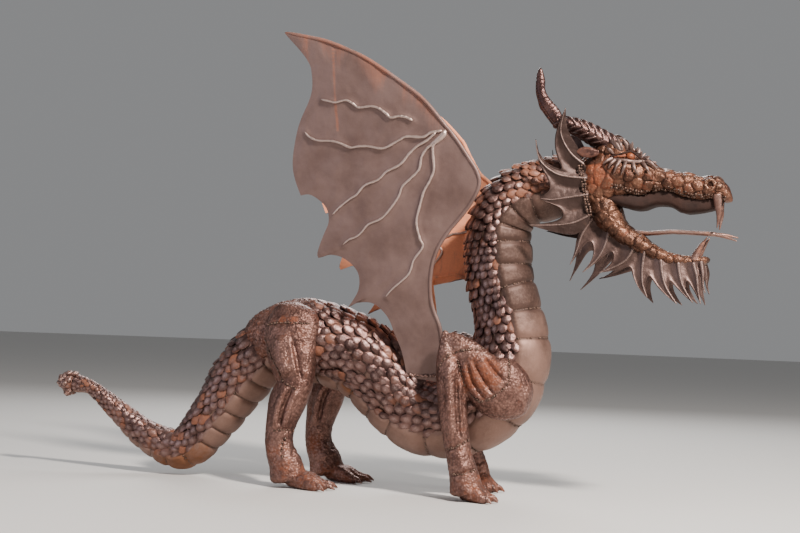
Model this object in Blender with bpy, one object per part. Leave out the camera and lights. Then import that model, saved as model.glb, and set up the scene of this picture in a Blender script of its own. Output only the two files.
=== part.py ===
"""A garden dragon of welded sheet steel. It stands on four feet and looks along +X.

The near side in the photograph is the dragon's right, which is -Y here. Shapes are given as stations in
millimetres of a dragon 2130 mm long, and SCULPTURE_LENGTH sets their real size.
"""
from math import cos, pi, radians, sin

import bmesh
import bpy
from mathutils import Vector

# Driving sizes in metres
SCULPTURE_LENGTH = 2.13
SHEET = 0.005
WELD_GAP = 0.0005
PLATE_STEP = 0.005
SCALE_RISE = 0.004
RIM_RADIUS = 0.008
VEIN_RADIUS = 0.0065
RIB_RADIUS = 0.006
EYE_RADIUS = 0.018
EYE_RING_RADIUS = 0.062
NOSTRIL_RADIUS = 0.017
NOSTRIL_ROD = 0.006
FANG_RADIUS = 0.011
TONGUE_HALF_WIDTH = 0.013
TONGUE_THICKNESS = 0.006
HINDLEG_STAGGER = 0.020
FORELEG_STAGGER = -0.052
HORN_STAGGER = -0.026
HORN_LIFT = 0.010
WING_LEAN = radians(8)
WING_SWEEP_BACK = radians(4)
TOE_SPREAD = radians(24)
FAR_FOOT_TURN = radians(-28)
MERGE_DISTANCE = 1e-6
FLAT_ANGLE = radians(0.4)

# Counts
BODY_SIDES = 14
BELLY_COLUMNS = 3
HEAD_SIDES = 12
LIMB_SIDES = 9
TOE_SIDES = 6
PALATE_SIDES = 8
HORN_SIDES = 6
ROD_SIDES = 6
VEIN_SIDES = 4
EYE_PETALS = 13
EYE_SEGMENTS = 8
EYE_RINGS = 6
NOSTRIL_SEGMENTS = 10
NOSTRIL_ROD_SIDES = 5
TOES = 3
FAN_RIB_RINGS = 3
FANG_RINGS = 4

# One millimetre of the 2130 mm long dragon
MM = SCULPTURE_LENGTH / 2130
RIGHT = -1
LEFT = 1

# Tail, torso and neck from tail tip to skull: x, z, half depth, half width
BODY_STATIONS = [
    (-1064, 276, 12, 10), (-1052, 270, 26, 20), (-1034, 268, 33, 24), (-1008, 266, 27, 21),
    (-950, 250, 21, 21), (-852, 182, 33, 31), (-742, 110, 47, 45), (-619, 86, 63, 60),
    (-521, 191, 77, 73), (-432, 319, 93, 86), (-330, 424, 99, 96), (-215, 438, 122, 108),
    (-41, 387, 118, 110), (89, 277, 119, 110), (170, 231, 119, 112), (275, 248, 130, 116),
    (368, 318, 132, 118), (414, 424, 115, 106), (400, 540, 99, 95), (372, 635, 98, 95),
    (364, 730, 98, 93), (364, 798, 93, 86), (392, 850, 93, 80), (436, 885, 93, 74),
    (499, 904, 90, 68), (571, 920, 84, 62), (630, 930, 76, 56),
]
# A belly plate is this share of the body's depth long, and this much more
PLATE_PITCH_SHARE = 0.60
PLATE_PITCH_BASE = 24
PLATE_LAP_SHARE = 0.18
# The first plate's place on the curve, and the half depth from which plates and scales have their full height
FIRST_PLATE_PLACE = 0.5
FULL_RELIEF_DEPTH = 60

# Limbs: x, z, half depth, half width, distance from the middle plane
HINDLEG_STATIONS = [
    (-226, 548, 36, 22, 84), (-230, 518, 70, 40, 90), (-232, 470, 84, 54, 97), (-231, 415, 81, 57, 103),
    (-218, 355, 67, 53, 115), (-206, 308, 53, 46, 125), (-226, 255, 57, 45, 131), (-241, 195, 47, 40, 135),
    (-247, 150, 42, 36, 136), (-242, 108, 43, 37, 136), (-222, 66, 50, 42, 136), (-210, -20, 54, 46, 136),
]
FORELEG_STATIONS = [
    (255, 484, 6, 8, 146), (262, 440, 22, 24, 146), (269, 398, 34, 32, 148), (276, 350, 39, 37, 150),
    (285, 290, 42, 39, 150), (291, 238, 40, 38, 150), (300, 183, 38, 35, 150), (313, 122, 37, 34, 150),
    (330, 66, 43, 38, 150), (338, -20, 46, 44, 150),
]
SHOULDER_STATIONS = [
    (262, 462, 22, 16, 146), (300, 436, 36, 28, 143), (330, 405, 50, 36, 136), (365, 356, 74, 46, 128),
    (416, 322, 88, 56, 118), (464, 302, 72, 48, 106), (502, 292, 34, 28, 94),
]
# Toes: reach forward from the ankle, height, half depth, half width
HIND_TOE = [(-10, 38, 34, 24), (45, 26, 27, 20), (92, 15, 17, 15), (118, 10, 9, 9), (140, 5, 3, 3)]
FORE_TOE = [(-10, 42, 40, 24), (30, 32, 30, 21), (62, 19, 20, 16), (82, 11, 10, 9), (98, 5, 3, 3)]
HIND_ANKLE = (-205, 136)
FORE_ANKLE = (330, 150)
GROUND_DEPTH = 200

# Wing outline: x and height along the sheet, from the rear of the root round to its front
WING_REAR_EDGE = [
    (126, 340), (114, 404), (90, 463), (69, 513), (20, 556), (-28, 554), (-55, 541), (-22, 598), (-27, 648),
    (-74, 687), (-149, 684), (-148, 703), (-114, 790), (-126, 839), (-170, 871), (-202, 869), (-226, 960),
    (-212, 1058), (-170, 1150), (-163, 1225), (-183, 1276), (-247, 1347),
]
WING_FRONT_EDGE = [
    (-247, 1349), (-198, 1338), (-121, 1321), (-46, 1292), (15, 1262), (106, 1202), (180, 1146), (247, 1069),
    (315, 977), (340, 938), (343, 900), (318, 850), (253, 770), (206, 681), (197, 611), (206, 545),
    (232, 460), (232, 330),
]
# The left wing is cut back above its root, so that daylight shows between it and the neck
LEFT_WING_FRONT_EDGE = WING_FRONT_EDGE[:8] + [
    (300, 965), (336, 927), (338, 890), (302, 800), (284, 720), (266, 645), (223, 651), (176, 648), (150, 638),
    (158, 560), (166, 483), (176, 330),
]
WING_VEINS = [
    [(-132, 1150), (-54, 1144), (36, 1126), (147, 1088)],
    [(-184, 1056), (-143, 1030), (-15, 1012), (77, 1012), (132, 1040), (229, 1057)],
    [(-101, 812), (3, 898), (113, 960), (219, 1052)],
    [(-67, 724), (-5, 764), (82, 832), (162, 937), (227, 1046)],
    [(65, 574), (143, 658), (177, 735), (162, 800), (201, 914), (235, 1045)],
]
WING_ROOT = (170, 350, 82)

# Head: x, top, bottom, half width
HEAD_STATIONS = [
    (604, 975, 862, 58), (640, 1012, 846, 72), (685, 1046, 852, 80), (722, 1050, 874, 82),
    (752, 1014, 882, 76), (792, 990, 884, 66), (832, 964, 899, 58), (870, 953, 898, 53),
    (914, 945, 880, 51), (955, 938, 875, 50), (995, 938, 878, 46), (1022, 912, 872, 36), (1036, 884, 866, 18),
]
PALATE_STATIONS = [
    (712, 900, 858, 60), (764, 890, 845, 52), (792, 890, 844, 46), (829, 905, 856, 42), (868, 905, 854, 40),
    (895, 890, 840, 39), (921, 885, 835, 38), (957, 884, 839, 36), (991, 886, 847, 30), (1014, 886, 855, 20),
]
# Lower jaw: x, z, half depth, half width
JAW_STATIONS = [
    (660, 905, 44, 50), (668, 872, 48, 60), (688, 834, 46, 64), (722, 788, 31, 60), (768, 757, 28, 55),
    (806, 735, 22, 50), (850, 713, 19, 46), (900, 702, 16, 42), (940, 702, 14, 36), (968, 706, 11, 26),
    (978, 706, 6, 12),
]
TONGUE_LINE = [(730, 798), (760, 784), (798, 779), (871, 784), (940, 782), (995, 780)]
TONGUE_FORK = [(1026, 774), (1055, 766)]
TONGUE_FORK_SPREAD = 14
# How much of its width and thickness the fork loses at each step
FORK_WIDTH_LOSS = 0.4
FORK_THICKNESS_LOSS = 0.3
# Horn: x, z, radius, distance from the middle plane
HORN_STATIONS = [
    (712, 1022, 27, 38), (668, 1048, 26, 44), (624, 1070, 24, 48), (585, 1085, 21, 50), (552, 1094, 18, 52),
    (528, 1118, 17, 53), (508, 1148, 15, 53), (494, 1180, 12, 54), (489, 1214, 12, 54), (487, 1252, 3, 54),
]
HORN_RINGS = 14
HORN_PLAIT_SHARE = 0.14

# Webbed fans: each rib from its root to its tip
FRILL_RIBS = [
    [(632, 965), (590, 1000), (562, 1058), (573, 1128)],
    [(640, 928), (560, 936), (508, 975), (494, 1034)],
    [(644, 882), (590, 872), (544, 864), (512, 866)],
    [(650, 825), (609, 802), (560, 792), (483, 789)],
]
# The frill's edge, from the top of its root round the tips to the bottom of its root
FRILL_EDGE = [
    (632, 955), (619, 1000), (590, 1038), (575, 1078), (573, 1128), (548, 1080), (545, 1034), (563, 980),
    (552, 954), (523, 976), (494, 1034), (492, 998), (508, 952), (534, 925), (536, 905), (512, 866),
    (545, 850), (575, 836), (580, 822), (565, 812), (520, 800), (483, 789), (546, 775), (612, 767),
    (637, 789), (650, 825), (644, 882),
]
FRILL_Y = (76, 640, 0.26)
BEARD_RIBS = [
    [(655, 828), (622, 771), (608, 722), (591, 682)],
    [(700, 800), (691, 747), (668, 700), (628, 661)],
    [(776, 748), (754, 703), (718, 679), (674, 661)],
    [(803, 730), (798, 680), (801, 632), (816, 593)],
    [(848, 705), (856, 655), (870, 619), (899, 578)],
    [(897, 698), (904, 656), (917, 622), (943, 583)],
    [(938, 698), (950, 658), (955, 620), (964, 580)],
    [(960, 702), (966, 667), (968, 638), (975, 611)],
]
# The left beard hangs lower at the back: how much longer each of its ribs is
LEFT_BEARD_REACH = (1.30, 1.34, 1.15, 1.08, 1.0, 1.0, 1.0, 1.0)
BEARD_WEBS = (0.42, 0.42, 0.45, 0.42, 0.42, 0.42, 0.36)
FAN_BORDER = 16
# Shares along a rib: where the border bulges, how far a web climbs it, and how the web's ends lean inwards
FAN_BORDER_SHARES = (0.35, 0.7)
WEB_CLIMB = 0.12
WEB_PULL = 0.06
RIB_TIP_SHARE = 0.35
BEARD_DISTANCE = 38
BEARD_TOP = 760
BEARD_FLARE = 0.10

EYE_PLACE = (753, 1000)
EYE_DISTANCE = 76
# The valley between two petals as a share of the ring's radius, and how steeply the petals slope back
PETAL_VALLEY = 0.55
PETAL_SLOPE = 0.22
NOSTRIL_PLACE = (992, 912)
NOSTRIL_DISTANCE = 44
UPPER_FANG = [(1000, 884), (1004, 845), (1000, 794)]
LOWER_FANG = [(944, 702), (953, 735), (975, 768)]
UPPER_FANG_DISTANCE = 34
LOWER_FANG_DISTANCE = 28
FANG_TAPER = (1.0, 0.72, 0.12)
# Ear: x, z, half depth; its half width is a share of that and a little more
EAR_LEAF = [(606, 1018, 2), (628, 1008, 12), (655, 1004, 13), (684, 1008, 3)]
EAR_DISTANCE = 88
EAR_WIDTH_SHARE = 0.5
EAR_WIDTH_BASE = 2


def clear_scene():
    for thing in list(bpy.data.objects):
        bpy.data.objects.remove(thing, do_unlink=True)


def steel(name, colour, roughness, metallic):
    """A Principled material with one colour."""
    material = bpy.data.materials.new(name)
    material.use_nodes = True
    shader = material.node_tree.nodes["Principled BSDF"]
    shader.inputs["Base Color"].default_value = (*colour, 1)
    shader.inputs["Roughness"].default_value = roughness
    shader.inputs["Metallic"].default_value = metallic
    return material


def add_object(name, mesh_data, material):
    """Turn a bmesh into a named object of triangles with its faces pointing out."""
    bmesh.ops.recalc_face_normals(mesh_data, faces=mesh_data.faces)
    bmesh.ops.triangulate(mesh_data, faces=mesh_data.faces)
    mesh = bpy.data.meshes.new(name)
    mesh_data.to_mesh(mesh)
    mesh_data.free()
    piece = bpy.data.objects.new(name, mesh)
    bpy.context.scene.collection.objects.link(piece)
    mesh.materials.append(material)
    return piece


def spline(stations, place):
    """A smooth curve through the stations; place runs from 0 to the number of spans."""
    last = len(stations) - 1
    span = min(int(place), last - 1)
    t = place - span
    before, start, end, after = (stations[max(0, min(last, span + step))] for step in (-1, 0, 1, 2))
    return [
        0.5 * (2 * b + (c - a) * t + (2 * a - 5 * b + 4 * c - d) * t ** 2 + (3 * b - a - 3 * c + d) * t ** 3)
        for a, b, c, d in zip(before, start, end, after)
    ]


def heading(stations, place):
    """The unit direction of the curve in the x-z plane."""
    last = len(stations) - 1
    behind = spline(stations, max(0, place - 0.02))
    ahead = spline(stations, min(last, place + 0.02))
    return Vector((ahead[0] - behind[0], 0, ahead[1] - behind[1])).normalized()


def ring(centre, along, half_depth, half_width, sides, swell=None):
    """Points round the curve, counted from the lower or inner side."""
    back = Vector((-along.z, 0, along.x))
    points = []
    for side in range(sides):
        angle = 2 * pi * side / sides
        extra = swell(side) if swell else 0
        points.append(
            centre
            - back * (half_depth + extra) * cos(angle)
            + Vector((0, 1, 0)) * (half_width + extra) * sin(angle)
        )
    return points


def loft(name, rings, material):
    """Join rings of equal count into one closed skin with flat ends."""
    mesh_data = bmesh.new()
    rows = [[mesh_data.verts.new(point) for point in points] for points in rings]
    count = len(rows[0])
    for row, following in zip(rows, rows[1:]):
        for side in range(count):
            beside = (side + 1) % count
            mesh_data.faces.new((row[side], row[beside], following[beside], following[side]))
    mesh_data.faces.new(rows[0])
    mesh_data.faces.new(rows[-1])
    return add_object(name, mesh_data, material)


def tube(name, stations, sides, material, y_sign=1, shift=0.0, rings=None):
    """A limb or rod: stations hold x, z, half depth, half width and distance from the middle."""
    rings = rings or len(stations)
    rows = []
    for index in range(rings):
        place = (len(stations) - 1) * index / (rings - 1)
        x, z, half_depth, half_width, distance = spline(stations, place)
        centre = Vector((x * MM + shift, y_sign * distance * MM, z * MM))
        rows.append(ring(centre, heading(stations, place), half_depth * MM, half_width * MM, sides))
    return loft(name, rows, material)


def boolean(piece, other, operation):
    """Apply an exact Boolean to piece and delete the other object."""
    modifier = piece.modifiers.new("cut", "BOOLEAN")
    modifier.operation = operation
    modifier.solver = "EXACT"
    modifier.object = other
    bpy.context.view_layer.update()
    depsgraph = bpy.context.evaluated_depsgraph_get()
    result = bpy.data.meshes.new_from_object(piece.evaluated_get(depsgraph))
    piece.modifiers.clear()
    mesh_data = bmesh.new()
    mesh_data.from_mesh(result)
    bmesh.ops.triangulate(mesh_data, faces=mesh_data.faces)
    bmesh.ops.remove_doubles(mesh_data, verts=mesh_data.verts, dist=MERGE_DISTANCE)
    bmesh.ops.dissolve_degenerate(mesh_data, edges=mesh_data.edges, dist=MERGE_DISTANCE)
    mesh_data.to_mesh(result)
    mesh_data.free()
    piece.data = result
    bpy.data.objects.remove(other, do_unlink=True)


def swollen_copy(piece):
    """A cutter that is one weld gap larger all round."""
    cutter = piece.copy()
    cutter.data = piece.data.copy()
    bpy.context.scene.collection.objects.link(cutter)
    for vertex, normal in zip(cutter.data.vertices, [entry.vector.copy() for entry in piece.data.vertex_normals]):
        vertex.co += normal * WELD_GAP
    cutter.hide_render = True
    cutter.display_type = "WIRE"
    return cutter


def largest_body(piece):
    """Keep the main body of a cut piece; what the cut left on the far side of the neighbour goes."""
    mesh_data = bmesh.new()
    mesh_data.from_mesh(piece.data)
    unseen = set(mesh_data.faces)
    groups = []
    while unseen:
        group = {unseen.pop()}
        front = list(group)
        while front:
            face = front.pop()
            for edge in face.edges:
                for neighbour in edge.link_faces:
                    if neighbour in unseen:
                        unseen.discard(neighbour)
                        group.add(neighbour)
                        front.append(neighbour)
        groups.append(group)
    groups.sort(key=lambda faces: -sum(face.calc_area() for face in faces))
    spare = [face for group in groups[1:] for face in group]
    bmesh.ops.delete(mesh_data, geom=spare, context="FACES")
    mesh_data.to_mesh(piece.data)
    mesh_data.free()


def merge_flat_faces(piece):
    """Join the triangles that lie in one plane and divide each flat face again, with fewer of them."""
    mesh_data = bmesh.new()
    mesh_data.from_mesh(piece.data)
    bmesh.ops.dissolve_limit(
        mesh_data, angle_limit=FLAT_ANGLE, verts=mesh_data.verts, edges=mesh_data.edges,
    )
    bmesh.ops.triangulate(mesh_data, faces=mesh_data.faces)
    mesh_data.to_mesh(piece.data)
    mesh_data.free()


def fit_against(piece, *neighbours):
    """Cut a piece where it meets its neighbours, leaving the weld gap."""
    for neighbour in neighbours:
        boolean(piece, swollen_copy(neighbour), "DIFFERENCE")
    largest_body(piece)
    merge_flat_faces(piece)


def sheet(name, outline, place, thickness, material):
    """A flat or dished plate: outline points are x, z and place gives their position on each face."""
    mesh_data = bmesh.new()
    faces = []
    for offset in (-thickness / 2, thickness / 2):
        faces.append([mesh_data.verts.new(place(x, z, offset)) for x, z in outline])
    mesh_data.faces.new(faces[0])
    mesh_data.faces.new(list(reversed(faces[1])))
    count = len(outline)
    for index in range(count):
        after = (index + 1) % count
        mesh_data.faces.new((faces[0][index], faces[1][index], faces[1][after], faces[0][after]))
    return add_object(name, mesh_data, material)


def rod(name, line, place, radius, material, sides=VEIN_SIDES, end_share=1.0):
    """A rod that follows a line on a plate, thinner at its end by end_share."""
    rings = len(line)
    centres = [place(x, z, 0) for x, z in line]
    across = (place(*line[0], SHEET) - place(*line[0], -SHEET)).normalized()
    rows = []
    for index, centre in enumerate(centres):
        along = (centres[min(rings - 1, index + 1)] - centres[max(0, index - 1)]).normalized()
        beside = along.cross(across).normalized()
        size = radius * (1 + (end_share - 1) * index / (rings - 1))
        rows.append([
            centre + (across * cos(2 * pi * side / sides) + beside * sin(2 * pi * side / sides)) * size
            for side in range(sides)
        ])
    return loft(name, rows, material)


def make_body(material):
    """Tail, torso and neck: lapped belly plates below, quilted rows of scales above."""
    last = len(BODY_STATIONS) - 1
    places = [0]
    place = FIRST_PLATE_PLACE
    while place < last - 0.05:
        depth = spline(BODY_STATIONS, place)[2]
        here = Vector(spline(BODY_STATIONS, place)[:2])
        ahead = Vector(spline(BODY_STATIONS, place + 0.05)[:2])
        pitch = PLATE_PITCH_SHARE * depth + PLATE_PITCH_BASE
        step = pitch * 0.05 / (ahead - here).length
        places += [place - PLATE_LAP_SHARE * step, place]
        place += step
    places.append(last)
    rows = []
    for index, place in enumerate(places):
        x, z, half_depth, half_width = spline(BODY_STATIONS, place)
        at_edge = index % 2 == 0 and 0 < index < len(places) - 1
        size_share = min(1, half_depth / FULL_RELIEF_DEPTH)

        def swell(side, at_edge=at_edge, index=index, size_share=size_share):
            column = min(side, BODY_SIDES - side)
            if column <= BELLY_COLUMNS:
                return PLATE_STEP * size_share if at_edge else 0
            return SCALE_RISE * size_share * (1 + (index + side) % 2)

        centre = Vector((x * MM, 0, z * MM))
        along = heading(BODY_STATIONS, place)
        rows.append(ring(centre, along, half_depth * MM, half_width * MM, BODY_SIDES, swell))
    return loft("body", rows, material)


def ground_block():
    """A block under the feet, which cuts their soles flat."""
    bpy.ops.mesh.primitive_cube_add(size=1)
    block = bpy.context.object
    reach = 1.5 * SCULPTURE_LENGTH
    for vertex in block.data.vertices:
        vertex.co.x *= reach
        vertex.co.y *= reach
        vertex.co.z = (vertex.co.z - 0.5) * GROUND_DEPTH * MM
    block.hide_render = True
    block.display_type = "WIRE"
    return block


def add_toes(leg, toe, ankle, side, shift, material, foot_turn=0.0):
    """Union the toes, spread like a fan, to the end of a leg."""
    ankle_x, ankle_y = ankle
    for index in range(TOES):
        turn = (index - (TOES - 1) / 2) * TOE_SPREAD + foot_turn
        rows = []
        for reach, height, half_depth, half_width in toe:
            centre = Vector((
                (ankle_x + reach * cos(turn)) * MM + shift,
                (side * ankle_y + reach * sin(turn)) * MM,
                height * MM,
            ))
            across = Vector((-sin(turn), cos(turn), 0))
            rows.append([
                centre
                + Vector((0, 0, 1)) * half_depth * MM * cos(2 * pi * step / TOE_SIDES)
                + across * half_width * MM * sin(2 * pi * step / TOE_SIDES)
                for step in range(TOE_SIDES)
            ])
        boolean(leg, loft("toe", rows, material), "UNION")
    boolean(leg, ground_block(), "DIFFERENCE")


def make_hindleg(name, side, shift, body, material):
    leg = tube(name, HINDLEG_STATIONS, LIMB_SIDES, material, side, shift)
    add_toes(leg, HIND_TOE, HIND_ANKLE, side, shift, material)
    fit_against(leg, body)
    return leg


def make_foreleg(name, side, shift, foot_turn, body, material):
    leg = tube(name, FORELEG_STATIONS, LIMB_SIDES, material, side, shift)
    shoulder = tube("shoulder", SHOULDER_STATIONS, LIMB_SIDES, material, side, shift)
    boolean(leg, shoulder, "UNION")
    add_toes(leg, FORE_TOE, FORE_ANKLE, side, shift, material, foot_turn)
    fit_against(leg, body)
    return leg


def wing_place(side, sweep):
    """Map sheet coordinates of a wing to the object: it leans out and sweeps back about its root."""
    root_x, root_z, root_y = WING_ROOT

    def place(x, z, offset):
        across = (x - root_x) * MM
        up = (z - root_z) * MM
        turned_x = across * cos(sweep) - up * sin(sweep)
        turned_up = across * sin(sweep) + up * cos(sweep)
        return Vector((
            root_x * MM + turned_x,
            side * (root_y * MM + turned_up * sin(WING_LEAN) + offset * cos(WING_LEAN)),
            root_z * MM + turned_up * cos(WING_LEAN) - offset * sin(WING_LEAN),
        ))

    return place


def make_wing(name, side, sweep, front_edge, body, material):
    """A sheet with a rolled rim along its front edge and veins that meet at one node."""
    place = wing_place(side, sweep)
    outline = WING_REAR_EDGE + front_edge[1:]
    wing = sheet(name, outline, place, SHEET, material)
    rods = rod("rim", front_edge[:-1], place, RIM_RADIUS, material, ROD_SIDES)
    for line in WING_VEINS:
        boolean(rods, rod("vein", line, place, VEIN_RADIUS, material), "UNION")
    boolean(wing, rods, "UNION")
    fit_against(wing, body)
    return wing


def deep_loft(name, stations, sides, material):
    """A loft along x from stations of x, top, bottom and half width."""
    rows = []
    for x, top, bottom, half_width in stations:
        centre = Vector((x * MM, 0, (top + bottom) / 2 * MM))
        rows.append(ring(centre, Vector((1, 0, 0)), (top - bottom) / 2 * MM, half_width * MM, sides))
    return loft(name, rows, material)


def make_jaw(head, body, material):
    jaw = tube("jaw", [(*station, 0) for station in JAW_STATIONS], LIMB_SIDES, material)
    fit_against(jaw, body, head)
    return jaw


def make_tongue(jaw, head, material):
    """A strip along the mouth that splits into two tips."""
    half = TONGUE_THICKNESS / 2
    mesh_data = bmesh.new()
    rows = []
    width = TONGUE_HALF_WIDTH
    for x, z in TONGUE_LINE:
        corners = ((-width, -half), (0, -half), (width, -half), (width, half), (0, half), (-width, half))
        rows.append([mesh_data.verts.new((x * MM, y, z * MM + up)) for y, up in corners])
    for row, following in zip(rows, rows[1:]):
        for side in range(6):
            beside = (side + 1) % 6
            mesh_data.faces.new((row[side], row[beside], following[beside], following[side]))
    mesh_data.faces.new((rows[0][0], rows[0][1], rows[0][4], rows[0][5]))
    mesh_data.faces.new((rows[0][1], rows[0][2], rows[0][3], rows[0][4]))
    end = rows[-1]
    for first, second, third, fourth, side in ((0, 1, 4, 5, RIGHT), (1, 2, 3, 4, LEFT)):
        base = [end[first], end[second], end[third], end[fourth]]
        for step, (x, z) in enumerate(TONGUE_FORK):
            spread = side * TONGUE_FORK_SPREAD * MM * (step + 1) / len(TONGUE_FORK)
            width = TONGUE_HALF_WIDTH / 2 * (1 - FORK_WIDTH_LOSS * (step + 1))
            middle = side * TONGUE_HALF_WIDTH / 2 + spread
            tip_half = half * (1 - FORK_THICKNESS_LOSS * (step + 1))
            corners = (
                (middle - width, -tip_half), (middle + width, -tip_half),
                (middle + width, tip_half), (middle - width, tip_half),
            )
            tip = [mesh_data.verts.new((x * MM, y, z * MM + up)) for y, up in corners]
            for corner in range(4):
                beside = (corner + 1) % 4
                mesh_data.faces.new((base[corner], base[beside], tip[beside], tip[corner]))
            base = tip
        mesh_data.faces.new(base)
    tongue = add_object("tongue", mesh_data, material)
    fit_against(tongue, jaw, head)
    return tongue


def make_horn(name, side, shift, lift, head, material):
    """A tapered horn whose rings swell in turn, like a plait."""
    last = len(HORN_STATIONS) - 1
    rows = []
    for index in range(HORN_RINGS):
        place = last * index / (HORN_RINGS - 1)
        x, z, radius, distance = spline(HORN_STATIONS, place)
        plait = 1 + HORN_PLAIT_SHARE * (index % 2 - 0.5)
        centre = Vector((x * MM + shift, side * distance * MM, z * MM + lift))
        size = radius * plait * MM
        rows.append(ring(centre, heading(HORN_STATIONS, place), size, size, HORN_SIDES))
    horn = loft(name, rows, material)
    fit_against(horn, head)
    return horn


def on_line(line, share):
    """The point at a share of the way along a line of points."""
    return tuple(spline(line, share * (len(line) - 1)))


def outer_border(rib, inner_rib):
    """Points just outside an end rib, on the side away from the web."""
    points = []
    for share in FAN_BORDER_SHARES:
        x, z = on_line(rib, share)
        inner_x, inner_z = on_line(inner_rib, share)
        away = Vector((x - inner_x, z - inner_z)).normalized() * FAN_BORDER * (1 - share)
        points.append((x + away.x, z + away.y))
    return points


def webbed_outline(ribs, webs):
    """From the first root round the tips, with a hollow in each web, to the last root."""
    outline = [ribs[0][0]] + outer_border(ribs[0], ribs[1]) + [ribs[0][-1]]
    for rib, following, web in zip(ribs, ribs[1:], webs):
        start = on_line(rib, web + WEB_CLIMB)
        end = on_line(following, web + WEB_CLIMB)
        inner_a = on_line(rib, web)
        inner_b = on_line(following, web)
        middle = ((inner_a[0] + inner_b[0]) / 2, (inner_a[1] + inner_b[1]) / 2)
        outline += [pull(start, middle, WEB_PULL), middle, pull(end, middle, WEB_PULL), following[-1]]
    outline += list(reversed(outer_border(ribs[-1], ribs[-2]))) + [ribs[-1][0]]
    outline += [rib[0] for rib in reversed(ribs[1:-1])]
    return outline


def pull(point, towards, share):
    return (point[0] + (towards[0] - point[0]) * share, point[1] + (towards[1] - point[1]) * share)


def lengthened(ribs, reaches):
    """Ribs stretched from their roots."""
    return [
        [(rib[0][0] + (x - rib[0][0]) * reach, rib[0][1] + (z - rib[0][1]) * reach) for x, z in rib]
        for rib, reach in zip(ribs, reaches)
    ]


def webbed_fan(name, ribs, outline, place, material):
    """A thin web with a tapering rib to each spike."""
    fan = sheet(name, outline, place, SHEET, material)
    for rib in ribs:
        line = [on_line(rib, index / (FAN_RIB_RINGS - 1)) for index in range(FAN_RIB_RINGS)]
        boolean(fan, rod("rib", line, place, RIB_RADIUS, material, end_share=RIB_TIP_SHARE), "UNION")
    return fan


def frill_place(side):
    near, start, slope = FRILL_Y

    def place(x, z, offset):
        return Vector((x * MM, side * ((near + slope * (start - x)) * MM + offset), z * MM))

    return place


def beard_place(side):
    def place(x, z, offset):
        distance = BEARD_DISTANCE + BEARD_FLARE * (BEARD_TOP - z)
        return Vector((x * MM, side * (distance * MM + offset), z * MM))

    return place


def make_eye_ring(name, side, neighbours, material):
    """A ring of pointed petals round the eye, raised in the middle."""
    eye_x, eye_z = EYE_PLACE
    mesh_data = bmesh.new()
    faces = []
    for depth in (SHEET, 0):
        middle_y = side * (EYE_DISTANCE * MM + depth)
        points = []
        for index in range(2 * EYE_PETALS):
            angle = pi * index / EYE_PETALS
            reach = EYE_RING_RADIUS if index % 2 == 0 else PETAL_VALLEY * EYE_RING_RADIUS
            slope = side * PETAL_SLOPE * reach
            points.append(mesh_data.verts.new((
                eye_x * MM + reach * cos(angle), middle_y - slope, eye_z * MM + reach * sin(angle),
            )))
        middle = mesh_data.verts.new((eye_x * MM, middle_y, eye_z * MM))
        faces.append((points, middle))
    count = 2 * EYE_PETALS
    for points, middle in faces:
        for index in range(count):
            mesh_data.faces.new((points[index], points[(index + 1) % count], middle))
    for index in range(count):
        after = (index + 1) % count
        mesh_data.faces.new((faces[0][0][index], faces[0][0][after], faces[1][0][after], faces[1][0][index]))
    eye_ring = add_object(name, mesh_data, material)
    fit_against(eye_ring, *neighbours)
    return eye_ring


def make_eye(name, side, eye_ring, head, material):
    eye_x, eye_z = EYE_PLACE
    bpy.ops.mesh.primitive_uv_sphere_add(
        segments=EYE_SEGMENTS, ring_count=EYE_RINGS, radius=EYE_RADIUS,
        location=(eye_x * MM, side * EYE_DISTANCE * MM, eye_z * MM),
    )
    eye = bpy.context.object
    eye.name = name
    eye.data.materials.append(material)
    apply_place(eye)
    fit_against(eye, head, eye_ring)
    return eye


def apply_place(piece):
    """Move a primitive's place into its mesh."""
    bpy.context.view_layer.update()
    piece.data.transform(piece.matrix_world)
    piece.location = (0, 0, 0)
    piece.rotation_euler = (0, 0, 0)
    bpy.context.view_layer.update()


def make_nostril(name, side, head, material):
    nostril_x, nostril_z = NOSTRIL_PLACE
    bpy.ops.mesh.primitive_torus_add(
        major_segments=NOSTRIL_SEGMENTS, minor_segments=NOSTRIL_ROD_SIDES,
        major_radius=NOSTRIL_RADIUS, minor_radius=NOSTRIL_ROD,
        location=(nostril_x * MM, side * NOSTRIL_DISTANCE * MM, nostril_z * MM), rotation=(pi / 2, 0, 0),
    )
    nostril = bpy.context.object
    nostril.name = name
    nostril.data.materials.append(material)
    apply_place(nostril)
    fit_against(nostril, head)
    return nostril


def make_fang(name, line, side, distance, neighbour, material):
    """A curved cone that stands in its jaw."""
    stations = [
        (x, z, share * FANG_RADIUS / MM, share * FANG_RADIUS / MM, distance)
        for (x, z), share in zip(line, FANG_TAPER)
    ]
    fang = tube(name, stations, HORN_SIDES, material, side, rings=FANG_RINGS)
    fit_against(fang, *neighbour)
    return fang


def make_ear(name, side, neighbours, material):
    """A small folded leaf above the fan."""
    stations = [
        (x, z, half_depth, EAR_WIDTH_SHARE * half_depth + EAR_WIDTH_BASE, EAR_DISTANCE)
        for x, z, half_depth in EAR_LEAF
    ]
    ear = tube(name, stations, ROD_SIDES, material, side)
    fit_against(ear, *neighbours)
    return ear


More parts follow.
